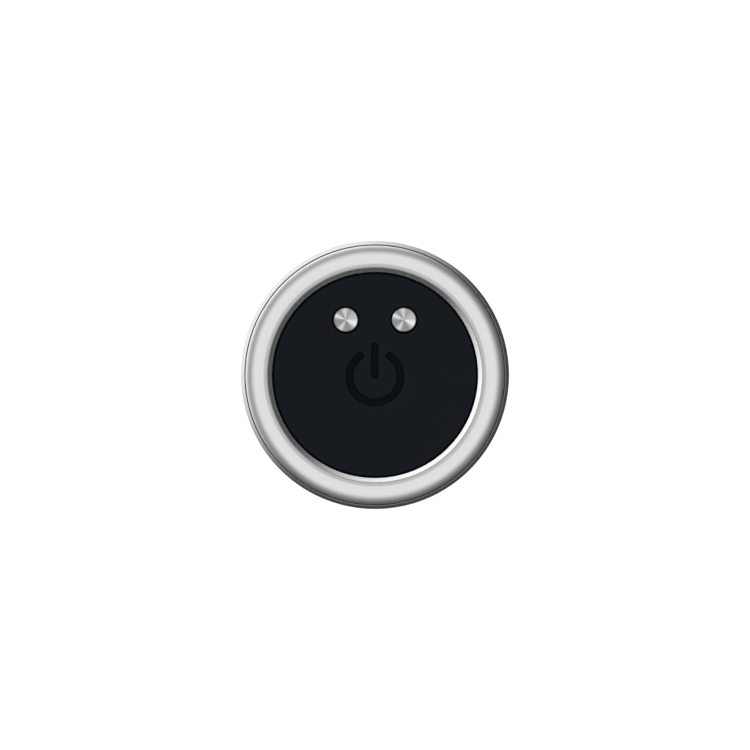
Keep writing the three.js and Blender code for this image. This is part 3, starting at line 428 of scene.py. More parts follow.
# %% Sheet steel brushed along or round a tube
def brushed_metal(name, dark, light, rough, stretch, per_mm, ripple_mm, anisotropy=0.4):
    """Noise drawn out along the brushing, with a slow drift of brightness over it."""
    material, net = finish(name)
    here = place(net)
    hair = noise(net, stretched(net, here, *stretch), per_mm, 5, 0.65)
    drift = noise(net, here, 0.06, 3)
    shade = weighed(net, hair, drift, 0.75)
    close(net, Base_Color=tint(net, shade, dark, light), Metallic=1.0,
          Roughness=between(net, shade, *rough),
          Anisotropic=anisotropy, Tangent=tangent_round_z(net), Normal=bump(net, hair, ripple_mm))
    return material


# %% Moulded plastic, coated tube and rubber
def moulded(name, dark, light, rough, grain_per_mm, grain_mm, gloss, coat=0.0):
    """A fine etched grain, with a faint cloudiness in colour and in dullness."""
    material, net = finish(name)
    here = place(net)
    grain = noise(net, here, grain_per_mm, 3, 0.6)
    cloud = noise(net, here, 0.08, 4)
    roughness = net.math("ADD", between(net, grain, *rough), between(net, cloud, -0.03, 0.03))
    close(net, Base_Color=tint(net, cloud, dark, light), Roughness=roughness, Specular_IOR_Level=gloss,
          Coat_Weight=coat, Coat_Roughness=0.3, Normal=bump(net, grain, grain_mm))
    return material


def circuit_board(name, mask, copper, pitch_mm):
    """A solder mask with tracks: the borders of square cells, raised a little over the board."""
    material, net = finish(name)
    here = place(net)
    cells = net.add("ShaderNodeTexVoronoi", {"feature": "DISTANCE_TO_EDGE", "distance": "EUCLIDEAN"},
                    Vector=here,
                    Scale=1 / (pitch_mm * MM), Randomness=0.55).outputs["Distance"]
    track = net.ramp(cells, (0.06, 1.0), (0.10, 0.0))
    grain = noise(net, here, 6, 2)
    close(net, Base_Color=tint(net, track, mask, copper), Roughness=between(net, grain, 0.3, 0.45),
          Normal=bump(net, track, 0.03))
    return material


def wound_copper(name):
    """Windings: even ridges down the axis, in enamelled copper."""
    material, net = finish(name)
    here = place(net)
    angle_wave = net.add("ShaderNodeTexWave", {"wave_type": "BANDS", "bands_direction": "Z"}, Vector=here,
                         Scale=0.9 / MM, Distortion=0.6).outputs["Fac"]
    close(net, Base_Color=tint(net, angle_wave, (0.30, 0.10, 0.035), (0.62, 0.27, 0.11)), Metallic=0.9,
          Roughness=between(net, angle_wave, 0.42, 0.28), Normal=bump(net, angle_wave, 0.1))
    return material


# %% Make one finish for each slot, and a few for single parts
FINISHES = {
    "brushed_steel": brushed_metal("steel_brushed_round", (0.56, 0.56, 0.57), (0.72, 0.72, 0.73),
                                   (0.24, 0.36),
                                   (1, 1, 60), 0.25, 0.004, 0.55),
    "stainless": brushed_metal("stainless_satin", (0.50, 0.51, 0.52), (0.66, 0.67, 0.68), (0.22, 0.36),
                               (1, 1, 45), 0.3, 0.004, 0.45),
    "black_plastic": moulded("plastic_black_grained", (0.0085, 0.0100, 0.0125), (0.0125, 0.0145, 0.0175),
                             (0.52, 0.66),
                             5.0, 0.012, 0.30),
    "black_tube": moulded("coating_black_satin", (0.0080, 0.0088, 0.0100), (0.0120, 0.0130, 0.0145),
                          (0.34, 0.46),
                          3.0, 0.006, 0.45, coat=0.15),
    "rubber": moulded("rubber_black", (0.010, 0.010, 0.011), (0.018, 0.018, 0.019), (0.72, 0.88), 2.5,
                      0.02, 0.25),
    "aluminium": brushed_metal("aluminium_drawn", (0.52, 0.53, 0.55), (0.68, 0.69, 0.71), (0.30, 0.46),
                               (8, 8, 1), 0.4, 0.005, 0.2),
    "board_green": circuit_board("board_solder_mask", (0.012, 0.085, 0.040), (0.035, 0.165, 0.070), 1.3),
    "component_black": moulded("component_epoxy", (0.012, 0.012, 0.013), (0.022, 0.022, 0.024),
                               (0.40, 0.55), 4, 0.01, 0.4),
    "component_blue": moulded("component_blue", (0.018, 0.045, 0.115), (0.026, 0.065, 0.150), (0.25, 0.4),
                              2, 0.005, 0.5),
    "copper": wound_copper("copper_windings"),
    "magnet": turned_metal("magnet_nickel", (0.45, 0.45, 0.46), (0.62, 0.61, 0.60), (0.18, 0.30), 0.5,
                           0.002, 0.3),
    "white_plastic": moulded("plastic_natural", (0.62, 0.61, 0.57), (0.72, 0.71, 0.67), (0.38, 0.5), 3,
                             0.006, 0.4),
}
FACE_BLACK = moulded("plastic_face_matt", (0.0052, 0.0080, 0.0112), (0.0066, 0.0096, 0.0130), (0.60, 0.72),
                     6.0, 0.010, 0.08)
# The symbol's deeper black is painted shade in its recess; the symbol is the same plastic as the face.
SYMBOL_PAINTED_SHADE = moulded("plastic_symbol_painted_shade", (0.0018, 0.0034, 0.0042), (0.0026, 0.0044, 0.0054), (0.55, 0.65),
                       6.0, 0.006, 0.04)


def floor_finish():
    """Matt near-white paper, glowing a little so that the shadow on it stays faint."""
    material, net = finish("floor_paper")
    fibre = noise(net, place(net), 0.8, 3)
    shade = tint(net, fibre, (0.86, 0.86, 0.86), (0.90, 0.90, 0.90))
    glow = net.math("MULTIPLY", net.add("ShaderNodeLightPath").outputs["Is Camera Ray"], 0.45)
    close(net, Base_Color=shade, Roughness=0.95, Specular_IOR_Level=0.0, Emission_Color=(1, 1, 1, 1),
          Emission_Strength=glow)
    return material


floor.data.materials.append(floor_finish())
for node, slot_name in SLOT_OF.items():
    if slot_name in FINISHES:
        for material_slot in frame["nodes"][node].material_slots:
            material_slot.material = FINISHES[slot_name]
print("finishes:", len(bpy.data.materials))


# %% Dress a new piece in a finish
def dress(piece, material, sharp_degrees=None):
    piece.data.materials.clear()
    piece.data.materials.append(material)
    if sharp_degrees:
        piece.data.set_sharp_from_angle(angle=math.radians(sharp_degrees))
    return piece


def dress_as(node, piece, sharp_degrees=None):
    """The finish of the slot that the node has."""
    return dress(piece, FINISHES[SLOT_OF[node]], sharp_degrees)


# %% [markdown]
# ## The bezel ring
# The ring is one steel stamping. From the inside out it rises by a steep throat, softens into a cove,
# carries one fine bead with a shallow groove behind it, and then swells into a broad crown that rolls
# off to the seam. What metal shows depends on its slope alone, so the section is written as slopes in
# degrees at a few radii, and summed up into heights.

# %% Work out the bezel's section
BEZEL_SLOPES = [
    (THROAT, 44), (23.80, 43), (24.15, 30), (24.75, 27), (25.10, 4), (25.35, -9), (25.60, 9), (26.30, 3),
    (26.60, 0),
    (27.10, -20), (27.55, -28), (28.00, -33), (28.45, -36), (BEZEL_OUT, -39),
]


def bezel_profile():
    """The height is the running sum of the slope's tangent, and its greatest value is put at the crown."""
    radius = np.linspace(THROAT, BEZEL_OUT, 150)
    tangent = np.tan(np.radians(np.interp(radius, *zip(*BEZEL_SLOPES))))
    height = np.concatenate([[0], np.cumsum((tangent[1:] + tangent[:-1]) / 2 * np.diff(radius))])
    skin = np.stack([radius, height + CROWN - height.max()], -1)
    bottom = low("bezel_ring")
    back = rounded([(BEZEL_OUT, skin[-1, 1] - 0.1, 0), (BEZEL_OUT, bottom, 0.15), (THROAT, bottom, 0.15),
                    (THROAT, skin[0, 1] - 0.1, 0)], closed=False)
    return np.vstack([skin, back])


SPUN_STEEL = turned_metal("steel_spun", (0.60, 0.60, 0.605), (0.76, 0.76, 0.765), (0.20, 0.30), 0.16,
                          0.0025, 0.35)
bezel = dress(turned("bezel_ring_spun", bezel_profile(), "bezel_ring", turns=320), SPUN_STEEL)
print("bezel:", len(bezel.data.polygons), "faces")


# %% [markdown]
# ## The head's steel shell
# The shell is a deep-drawn cup with its bottom cut out. Its rolled upper edge shows outside the bezel
# as a slim bright line, with a dark seam between the two, and a ledge inside it carries the deck.

# %% Draw the shell
def shell_profile():
    bottom, top = span("head_shell")
    inner = HEAD - HEAD_WALL
    ledge_top = low("control_deck") + 4.45
    return rounded([
        (inner, bottom, 0.15), (HEAD, bottom, 0.3), (HEAD, top - 0.78, 0.06), (inner + 0.08, top, 0.08),
        (inner, top - 0.1, 0.05),
        (inner, ledge_top, 0), (inner - 1.5, ledge_top, 0.3), (inner - 1.5, ledge_top - 2, 0.3),
        (inner, ledge_top - 2, 0),
    ], steps=8)


shell = dress(turned("head_shell_drawn", shell_profile(), "head_shell", turns=320),
              FINISHES["brushed_steel"])
print("shell:", len(shell.data.polygons), "faces")


# %% [markdown]
# ## The power button's face
# The black face is one moulded cap with a power symbol sunk into it. A flat plane with crisp outlines
# is best filled by a constrained triangulation: the outlines stay exact however fine they are. Each
# outline is a formula: a broken ring with round ends and a bar with round ends. Walls join the face to
# the symbol's floor, each with a small round at its lip, as a mould leaves it.

# %% Outlines of the symbol and the key holes
SYMBOL = {"radius": 5.7, "stroke": 1.68, "opening": 35.0, "lift": -0.4, "bar": 1.64, "bar_top": 7.2,
          "bar_low": -0.8}
SYMBOL_DEPTH = 0.45
# How far from the middle the symbol's painted shade is looked for.
SYMBOL_SHADE_REACH = 9


def circle(radius, count, centre=(0, 0)):
    angles = full_turn(count)
    return np.stack([centre[0] + radius * np.cos(angles), centre[1] + radius * np.sin(angles)], -1)


def arc(centre, radius, start, end, count):
    angles = np.radians(np.linspace(start, end, count))
    return np.stack([centre[0] + radius * np.cos(angles), centre[1] + radius * np.sin(angles)], -1)


def broken_ring(grow):
    """The ring's outline, grown by an offset: two arcs about its middle, joined by two half circles."""
    s = SYMBOL
    half = s["stroke"] / 2 + grow
    start, end = 90 + s["opening"], 450 - s["opening"]
    middle = np.array([0, s["lift"]])
    tip = middle + s["radius"] * np.array([np.cos(np.radians(end)), np.sin(np.radians(end))])
    tail = middle + s["radius"] * np.array([np.cos(np.radians(start)), np.sin(np.radians(start))])
    return np.vstack([arc(middle, s["radius"] + half, start, end, 120)[:-1],
                      arc(tip, half, end, end + 180, 24)[:-1],
                      arc(middle, s["radius"] - half, end, start, 100)[:-1],
                      arc(tail, half, start + 180, start + 360, 24)[:-1]])


def bar(grow):
    half = SYMBOL["bar"] / 2
    top, foot = (0, SYMBOL["bar_top"] - half), (0, SYMBOL["bar_low"] + half)
    return np.vstack([arc(top, half + grow, 0, 180, 28), arc(foot, half + grow, 180, 360, 28)])


def key_hole(side):
    return lambda grow: circle(KEY + KEY_GAP + grow, 96, (side * KEY_X, KEY_Y))


# %% Fill between outlines, and loft walls from them
def inside(points, loop):
    """Which points lie in a closed outline, by counting the edges that a ray to the right crosses."""
    a, b = loop, np.roll(loop, -1, axis=0)
    px, py = points[:, 0][:, None], points[:, 1][:, None]
    crosses = (a[:, 1] > py) != (b[:, 1] > py)
    with np.errstate(divide="ignore", invalid="ignore"):
        at_x = a[:, 0] + (py - a[:, 1]) * (b[:, 0] - a[:, 0]) / (b[:, 1] - a[:, 1])
    return (np.where(crosses, px < at_x, False).sum(1) % 2) == 1


def fill(outer, holes, height, lattice=None):
    """Triangles of the flat region inside one outline and outside the others, as (vertices, faces).

    A lattice of extra points in the region keeps its triangles small, for a sheet that is rolled up later.
    """
    loops = [outer, *holes]
    points = np.vstack(loops if lattice is None else [*loops, lattice])
    starts = np.cumsum([0] + [len(loop) for loop in loops])
    edges = [(s + i, s + (i + 1) % len(loop)) for s, loop in zip(starts, loops) for i in range(len(loop))]
    out = delaunay_2d_cdt([Vector(p) for p in points.tolist()], edges, [], 0, 1e-7, False)
    vertices = np.array([list(v) for v in out[0]])
    triangles = np.array([list(t) for t in out[2]])
    middles = vertices[triangles].mean(1)
    keep = inside(middles, outer)
    for hole in holes:
        keep &= ~inside(middles, hole)
    return np.column_stack([vertices, np.full(len(vertices), height)]), triangles[keep]


def loft(outline, levels):
    """Walls: the outline at every (growth, height) level in turn, joined by quads."""
    rings = [np.column_stack([outline(grow), np.full(len(outline(grow)), height)]) for grow,
             height in levels]
    return np.vstack(rings), grid_faces(len(rings), len(rings[0]))


def gather(sheets, shift=(0, 0, 0)):
    """Several (vertices, faces) sheets as one, moved by a shift, with each one's faces counted on."""
    vertices, faces, count = [], [], 0
    for sheet_vertices, sheet_faces in sheets:
        vertices.append(np.asarray(sheet_vertices) + np.array(shift))
        faces.extend([[int(index) + count for index in face] for face in sheet_faces])
        count += len(sheet_vertices)
    return np.vstack(vertices), faces


def quarter_round(radius, top, count):
    """(growth, height) levels over a round lip, from a flat at the top to where the wall begins."""
    turn = np.linspace(0, np.pi / 2, count)
    return [(radius * (1 - np.sin(a)), top - radius * (1 - np.cos(a))) for a in turn]


LIP = 0.09
LIP_STEPS = 6
DRAFT = 0.05


def lip_levels(depth, floor_round=0.06):
    """From the face over a quarter round, down a wall with a little draft, to a rounded floor."""
    low_edge = FACE_TOP - depth
    foot = [(-DRAFT - floor_round * (1 - np.cos(a)), low_edge + floor_round * (1 - np.sin(a)))
            for a in np.linspace(0, np.pi / 2, LIP_STEPS)]
    return quarter_round(LIP, FACE_TOP, LIP_STEPS) + foot


BUTTON_SIDES = 256
CAP_THICKNESS = 2.0
EDGE = 0.27
STEM = 1.8
STEM_TIP = 0.2
FLANGE_RISE = 5.1


def stem_outline(grow):
    return circle(STEM + grow, 48)


def make_button():
    under = FACE_TOP - CAP_THICKNESS
    flange = low("power_button") + FLANGE_RISE
    skirt = rounded([
        (FACE - EDGE, FACE_TOP, 0), (FACE, FACE_TOP, 0.26), (FACE, flange + 1.2, 0),
        (BUTTON_FLANGE, flange + 1.2, 0.15),
        (BUTTON_FLANGE, flange, 0.15), (FACE - 1.8, flange, 0.1), (FACE - 1.8, under, 0.3),
        (FACE - 4, under, 0),
    ], closed=False)
    sheets = [turned_sheet(skirt, BUTTON_SIDES)]
    outlines = [broken_ring, bar]
    holes = [key_hole(-1), key_hole(1)]
    face_holes = [outline(LIP) for outline in outlines + holes]
    sheets.append(fill(circle(FACE - EDGE, BUTTON_SIDES), face_holes, FACE_TOP))
    for outline in outlines:
        levels = lip_levels(SYMBOL_DEPTH)
        sheets.append(loft(outline, levels))
        sheets.append(fill(outline(levels[-1][0]), [], levels[-1][1]))
    lip = quarter_round(LIP, FACE_TOP, LIP_STEPS)
    for hole in holes:
        sheets.append(loft(hole, lip + [(0, under + 0.02), (0, under)]))
    inner_holes = [hole(0) for hole in holes] + [stem_outline(0)]
    sheets.append(fill(circle(FACE - 4, BUTTON_SIDES), inner_holes, under))
    stem_low = low("power_button")
    sheets.append(loft(stem_outline, [(0, under), (0, stem_low + STEM_TIP), (-STEM_TIP, stem_low)]))
    sheets.append(fill(stem_outline(-STEM_TIP), [], stem_low))
    return mesh_piece("power_button_cap", *gather(sheets), "power_button", merge=2e-6)


def paint_symbol_shade(piece):
    """Painted shade: the symbol's walls and floor, found by height and by lying near the middle, get a
    deeper black than the face, standing in for the shade in the sunk symbol.
    """
    piece.data.materials.append(SYMBOL_PAINTED_SHADE)
    for polygon in piece.data.polygons:
        x, y, z = polygon.center / MM
        if math.hypot(x, y) < SYMBOL_SHADE_REACH and FACE_TOP - SYMBOL_DEPTH - 0.05 < z < FACE_TOP - LIP * 0.7:
            polygon.material_index = 1


button = dress(make_button(), FACE_BLACK, sharp_degrees=50)
# The sunk power symbol gets painted shade.
paint_symbol_shade(button)
print("button:", len(button.data.polygons), "faces")


# %% [markdown]
# ## The two keys
# Each key is a small aluminium cap, turned flat on a lathe and then cut once round its edge with a polished
# tool, which leaves a thin bright line. The rays that the lathe's rings would throw are painted highlight
# rays in the colour, over a painted shade that dims the rest of the cap.

# %% Turn the keys
def key_profile():
    bottom, top = span("right_key")
    flange = high("power_button") - 3.0
    return rounded([
        (0, top - 0.04, 0), (KEY - 0.30, top, 0.12), (KEY - 0.02, top - 0.24, 0.08), (KEY, flange, 0),
        (3.7, flange, 0.1),
        (3.7, flange - 0.9, 0.1), (1.3, flange - 0.9, 0.1), (1.3, bottom, 0.2), (0, bottom, 0),
    ], closed=False)


# Painted highlight rays as (direction in degrees, sharpness, gain), laid on a painted shade level with
# painted streaks.
PAINTED_RAYS = [(97, 22, 0.36), (156, 30, 0.48), (-22, 12, 0.55), (-122, 26, 0.38), (25, 5, 0.22)]
PAINTED_SHADE_LEVEL = 0.26
PAINTED_STREAKS = 16.0


def painted_ray_highlights(net, here):
    """Painted highlight rays from the middle, each the cosine of the angle to its direction raised to a
    power, over a dim painted base with painted streaks round the middle.
    """
    outward = vector_math(net, "NORMALIZE", flattened(net, here))
    painted_streak = net.add("ShaderNodeTexNoise", Vector=outward, Scale=PAINTED_STREAKS, Detail=3.0,
                     Roughness=0.6).outputs[0]
    painted_light = between(net, painted_streak, PAINTED_SHADE_LEVEL - 0.08, PAINTED_SHADE_LEVEL + 0.12)
    for degrees, sharpness, gain in PAINTED_RAYS:
        angle = math.radians(degrees)
        along = vector_math(net, "DOT_PRODUCT", outward, (math.cos(angle), math.sin(angle), 0))
        ray = net.math("POWER", net.math("MAXIMUM", along, 0.0), sharpness)
        painted_light = net.math("MULTIPLY_ADD", ray, gain, painted_light)
    return painted_light


def make_key(side, name):
    centre = (side * KEY_X, KEY_Y, 0)
    # The key's colour is multiplied by painted highlight rays on a painted shade.
    metal = turned_metal(f"{name}_faced", (0.86, 0.87, 0.88), (0.98, 0.98, 0.98), (0.22, 0.34), 0.11,
                         0.0035, 0.6, centre,
                         shading=painted_ray_highlights)
    return dress(turned(f"{name}_turned", key_profile(), name, turns=160, centre=centre), metal)


left_key, right_key = make_key(-1, "left_key"), make_key(1, "right_key")
print("keys:", len(left_key.data.polygons), len(right_key.data.polygons), "faces")


# %% [markdown]
# ## The head's black lower half, its cord gland and the body
# The lower half flares out from the slim body to the steel shell along one smooth curve, a cubic with
# its two handles along the tube and along the shell. A short boss on the clip's side takes the rubber
# gland. Pieces that lie along Y are turned about Z like any other, and then their axes are swapped.

# %% Draw the flared base, with its boss
def bezier(start, first_handle, second_handle, end, count=28):
    """(1-t)^3 start + 3 (1-t)^2 t handle + 3 (1-t) t^2 handle + t^3 end, for t from 0 to 1."""
    t = np.linspace(0, 1, count)[:, None]
    a, b, c, d = (np.array(point, float) for point in (start, first_handle, second_handle, end))
    return (1 - t) ** 3 * a + 3 * (1 - t) ** 2 * t * b + 3 * (1 - t) * t ** 2 * c + t ** 3 * d


def along_y(points, height):
    """Points turned about Z, laid along +Y at a height: (x, y, z) becomes (x, z, height - y)."""
    return np.stack([points[..., 0], points[..., 2], height - points[..., 1]], -1)


def tube_sheet(profile, turns, height):
    points = along_y(turned_points(profile, turns), height)
    return points.reshape(-1, 3), grid_faces(len(profile), turns, wrap_rows=True)


GLAND_Z = (high("cord_gland") + low("cord_gland")) / 2
GLAND = 5.2
GLAND_BORE = 3.5
GLAND_INNER = 22.35
BOSS_WALL = 1.3
BOSS_INNER = 22.8
BOSS_REACH = 27.2
GASKET_WIDTH = 1.4
SEAL_WIDTH = 3.8
BASE_TOP = low("head_shell") - SEAT_GAP


def base_profile():
    bottom, top = span("head_base")
    neck, socket, spigot = BODY + 1.6, BODY + PRESS_GAP, HEAD - HEAD_WALL - PRESS_GAP
    flare = bezier((neck, bottom + 0.4), (neck, GLAND_Z + 4), (HEAD - 2, BASE_TOP - 6),
                   (HEAD, BASE_TOP - 1))
    rest = rounded([
        (HEAD, BASE_TOP - 1, 0), (HEAD, BASE_TOP, 0.25), (spigot, BASE_TOP, 0), (spigot, top, 0.3),
        (spigot - 1.6, top, 0.3),
        (spigot - 1.6, BASE_TOP + 1, 0.5), (BODY - BODY_WALL, BASE_TOP - 3.5, 0.2),
        (BODY - BODY_WALL, BASE_TOP - 5, 0),
        (socket, BASE_TOP - 5, 0), (socket, bottom, 0.2), (neck, bottom, 0.4), (neck, bottom + 0.4, 0),
    ], closed=False)
    return np.vstack([flare, rest[1:-1]])


def make_base():
    body = turned_sheet(base_profile(), closes=True)
    boss, inner = GLAND + BOSS_WALL, GLAND + PRESS_GAP
    section = rounded([(inner, BOSS_INNER, 0), (boss, BOSS_INNER, 0), (boss, BOSS_REACH, 0.5),
                       (inner, BOSS_REACH, 0.2)])
    return mesh_piece("head_base_moulded", *gather([body, tube_sheet(section, 64, GLAND_Z)]), "head_base")


base = dress_as("head_base", make_base(), sharp_degrees=40)


# %% Turn the gland, the tube and its gasket
def make_gland():
    bore, collar = GLAND_BORE, GLAND + 1.2
    inner, seat, end = GLAND_INNER, BOSS_REACH + SEAT_GAP, high("cord_gland", 1)
    profile = rounded([
        (bore, inner, 0.2), (GLAND, inner, 0.2), (GLAND, seat, 0), (collar, seat, 0.1),
        (collar, seat + 0.75, 0.35),
        (GLAND + 0.1, seat + 1.15, 0.3), (GLAND - 0.3, end, 0.35), (bore, end, 0.4),
    ])
    return mesh_piece("cord_gland_rubber", *tube_sheet(profile, 72, GLAND_Z), "cord_gland")


def tube_profile(node, inner, edge=0.3):
    """A plain tube's section between its bottom and its top, with both ends rounded."""
    outer, bottom, top = high(node, 0), low(node), high(node)
    return rounded([(inner, bottom, edge), (outer, bottom, edge), (outer, top, edge), (inner, top, edge)])


gland = dress_as("cord_gland", make_gland(), sharp_degrees=60)
tube = dress_as("body_tube", turned("body_tube_drawn", tube_profile("body_tube", BODY - BODY_WALL),
                                    "body_tube"))
gasket_section = tube_profile("body_gasket", BODY - GASKET_WIDTH, 0.25)
dress_as("body_gasket", turned("body_gasket_ring", gasket_section, "body_gasket"))
seal_section = tube_profile("face_seal", high("face_seal", 0) - SEAL_WIDTH)
dress_as("face_seal", turned("face_seal_ring", seal_section, "face_seal"))
print("base, gland, tube:", len(base.data.polygons), len(gland.data.polygons), len(tube.data.polygons),
      "faces")


# %% [markdown]
# ## The bulkhead and the skirt
# The skirt is a steel tube with two rows of tall slots that let the water in. A pierced tube is made
# flat first: its wall is unrolled, the slots are cut out of the sheet by a constrained triangulation,
# and the sheet is rolled up again, once at the outer radius and once at the inner. Walls through the
# thickness join the two, with a small round at each lip.

# %% Roll a pierced sheet into a tube
def slot_outline(width, height, grow, round_end=1.0, count=12):
    """Half circles above and below a straight stretch. A smaller round_end squares the ends off."""
    half = width / 2 + grow
    corner = half * round_end
    top = height / 2 + grow - corner
    points = []
    for x, y, start in ((half - corner, top, 0), (corner - half, top, 90), (corner - half, -top, 180),
                        (half - corner, -top, 270)):
        points.append(arc((x, y), corner, start, start + 90, count)[:-1])
    return np.vstack(points)


def pierced_tube(outer, inner, bottom, top, openings, outline, turns=192, lip=0.15):
    """Sheets of a tube's wall with openings centred at (degrees, height), for a given outline(grow)."""
    def rolled(flat, radius):
        angle = flat[:, 0] / outer
        return np.column_stack([radius * np.cos(angle), radius * np.sin(angle), flat[:, 1]])

    around = 2 * np.pi * outer
    across = np.arange(turns + 1) * around / turns
    rectangle = np.vstack([np.column_stack([across, np.full(turns + 1, bottom)]),
                           np.column_stack([across[::-1], np.full(turns + 1, top)])])
    centres = [np.array([math.radians(degrees) * outer, height]) for degrees, height in openings]
    rim = outline(lip)
    heights = np.arange(bottom + 3, top - 2, 6.0)
    lattice = np.stack(np.meshgrid(across[1:-1], heights), -1).reshape(-1, 2)
    reach = np.abs(rim).max(0) + 0.35
    for centre in centres:
        lattice = lattice[(np.abs(lattice - centre) > reach).any(1)]
    flat, triangles = fill(rectangle, [rim + centre for centre in centres], 0, lattice)
    sheets = [(rolled(flat[:, :2], outer), triangles), (rolled(flat[:, :2], inner), triangles[:, ::-1])]
    outside = quarter_round(lip, outer, 4)
    inside_lip = [(grow, inner + outer - radius) for grow, radius in outside[::-1]]
    for centre in centres:
        rings = [rolled(outline(grow) + centre, radius) for grow, radius in outside + inside_lip]
        sheets.append((np.vstack(rings), grid_faces(len(rings), len(rings[0]))))
    return sheets


# %% Cut the skirt's slots
SKIRT_INNER = BODY - SKIRT_WALL
SLOT = {"width": 3.2, "height": 20.0, "rows": (56.05, 84.05), "count": 12, "turn": 15}


def make_skirt():
    bottom, top = span("skirt_tube")
    step = 360 / SLOT["count"]
    openings = [(SLOT["turn"] + step * i, row) for row in SLOT["rows"] for i in range(SLOT["count"])]
    sheets = pierced_tube(BODY, SKIRT_INNER, bottom + 0.2, top - 0.2, openings,
                          lambda grow: slot_outline(SLOT["width"], SLOT["height"], grow, 0.9))
    for end, inward in ((bottom, 0.2), (top, -0.2)):
        sheets.append(turned_sheet(rounded([(BODY, end + inward, 0), (BODY, end, 0.15),
                                            (SKIRT_INNER, end, 0.15),
                                         (SKIRT_INNER, end + inward, 0)], closed=False)))
    return mesh_piece("skirt_tube_slotted", *gather(sheets), "skirt_tube", merge=2e-6)


skirt = dress_as("skirt_tube", make_skirt(), sharp_degrees=50)
print("skirt:", len(skirt.data.polygons), "faces")


# %% Mould the cap with its outlet ports
PORT = {"width": 3.2, "height": 12.0, "middle": 15.05, "count": 12}
CAP_INNER = BODY - CAP_WALL


def make_cap():
    bottom, top = span("bottom_cap")
    shoulder, spigot, floor_top = low("skirt_tube") - SEAT_GAP, SKIRT_INNER - PRESS_GAP, bottom + 3
    wall_low, wall_high = floor_top + 1.5, shoulder - 2
    openings = [(360 / PORT["count"] * i, PORT["middle"]) for i in range(PORT["count"])]
    sheets = pierced_tube(BODY, CAP_INNER, wall_low, wall_high, openings,
                          lambda grow: slot_outline(PORT["width"], PORT["height"], grow, 0.7), lip=0.25)
    pocket = high("foot_magnet", 0) + PRESS_GAP
    pocket_top = high("foot_magnet") + SEAT_GAP
    sheets.append(turned_sheet(rounded([
        (BODY, wall_high, 0), (BODY, shoulder, 0.3), (spigot, shoulder, 0.1), (spigot, top, 0.4),
        (CAP_INNER, top, 0.3),
        (CAP_INNER, wall_high, 0)], closed=False)))
    sheets.append(turned_sheet(rounded([
        (BODY, wall_low, 0), (BODY, bottom, 0.9), (pocket, bottom, 0.2), (pocket, pocket_top, 0.1),
        (0, pocket_top, 0),
    ], closed=False)))
    sheets.append(turned_sheet(rounded([(CAP_INNER, wall_low, 0), (CAP_INNER, floor_top, 1.2),
                                        (0, floor_top, 0)],
                                    closed=False)))
    return mesh_piece("bottom_cap_moulded", *gather(sheets), "bottom_cap", merge=2e-6)


cap = dress_as("bottom_cap", make_cap(), sharp_degrees=50)
print("cap:", len(cap.data.polygons), "faces")


# %% Turn the foot pad, with grip rings under it
MAGNET = 9.0


def disc_profile(node, radius, edge):
    """Half the section of a solid disc or rod, with both edges rounded."""
    bottom, top = span(node)
    return rounded([(0, bottom, 0), (radius, bottom, edge), (radius, top, edge), (0, top, 0)], closed=False)


def pad_profile():
    """Shallow rings are pressed into the underside: a cosine wave over the radius, in a flat border."""
    radius, top = high("foot_pad", 0), high("foot_pad")
    across = np.linspace(2, radius - 3, 90)
    wave = 0.15 * (1 - np.cos((across - 2) / (radius - 5) * 12 * np.pi))
    under = np.column_stack([across, wave])
    edge = rounded([(radius - 2.4, 0, 0), (radius - 0.6, 0, 0.3), (radius, 0.6, 0.3), (radius, top, 0.25),
                    (0, top, 0)],
                   closed=False)
    return np.vstack([[(0, 0)], under, edge])


pad = dress_as("foot_pad", turned("foot_pad_rubber", pad_profile(), "foot_pad"))
magnet_section = disc_profile("foot_magnet", MAGNET, 0.2)
dress_as("foot_magnet", turned("foot_magnet_disc", magnet_section, "foot_magnet", turns=96))
print("pad:", len(pad.data.polygons), "faces")


# %% Turn the bulkhead and the skirt's collar
def bulkhead_profile():
    bottom, top = span("bulkhead")
    flange_top, flange_bottom = low("body_tube") - SEAT_GAP, high("skirt_collar") + 0.15
    plate, spigot, plug = flange_bottom - 3.15, BODY - 2.5, BODY - 1.7
    boss, groove = high("shaft_tube", 0) + PRESS_GAP, flange_top + 2.3
    return rounded([
        (boss, plate - 6, 0.2), (boss + 2.2, plate - 6, 0.4), (boss + 2.2, plate, 0.6),
        (spigot - 2.9, plate, 0.5),
        (spigot - 2.9, bottom, 0.3), (spigot, bottom, 0.4), (spigot, flange_bottom, 0),
        (BODY, flange_bottom, 0.3),
        (BODY, flange_top, 0.3), (plug, flange_top, 0), (plug, groove, 0.1), (plug - 1.35, groove, 0.1),
        (plug - 1.35, groove + 2.7, 0.1), (plug, groove + 2.7, 0.1), (plug, top, 0.4),
        (plug - 2.7, top, 0.2),
        (plug - 2.7, flange_top, 0.4), (6, flange_top, 0.2), (6, flange_top - 5.6, 0),
        (boss, flange_top - 5.6, 0),
    ], steps=3)


def lug_sheet(inner, outer, middle, half, bottom, top):
    """A block bent round the axis: six faces over a grid of angles."""
    angles = np.radians(np.linspace(middle - half, middle + half, 17))
    section = rounded([(inner, bottom, 0.2), (outer, bottom, 0.4), (outer, top, 0.4), (inner, top, 0.2)],
                      steps=3)
    rows = np.stack([np.column_stack([section[:, 0] * np.cos(a), section[:, 0] * np.sin(a), section[:, 1]])
                     for a in angles])
    count = len(section)
    faces = grid_faces(17, count).tolist() + [list(range(count)), list(range(16 * count, 17 * count))]
    return rows.reshape(-1, 3), faces


COLLAR_SPIGOT = 8
COLLAR_HEIGHT = 13.9
LUG_ANGLES = (90, 210, 330)
LUG_HEIGHT = 3
LUG_PLAY = 0.3
LUG_LOW = low("skirt_collar") + COLLAR_SPIGOT + COLLAR_HEIGHT / 4


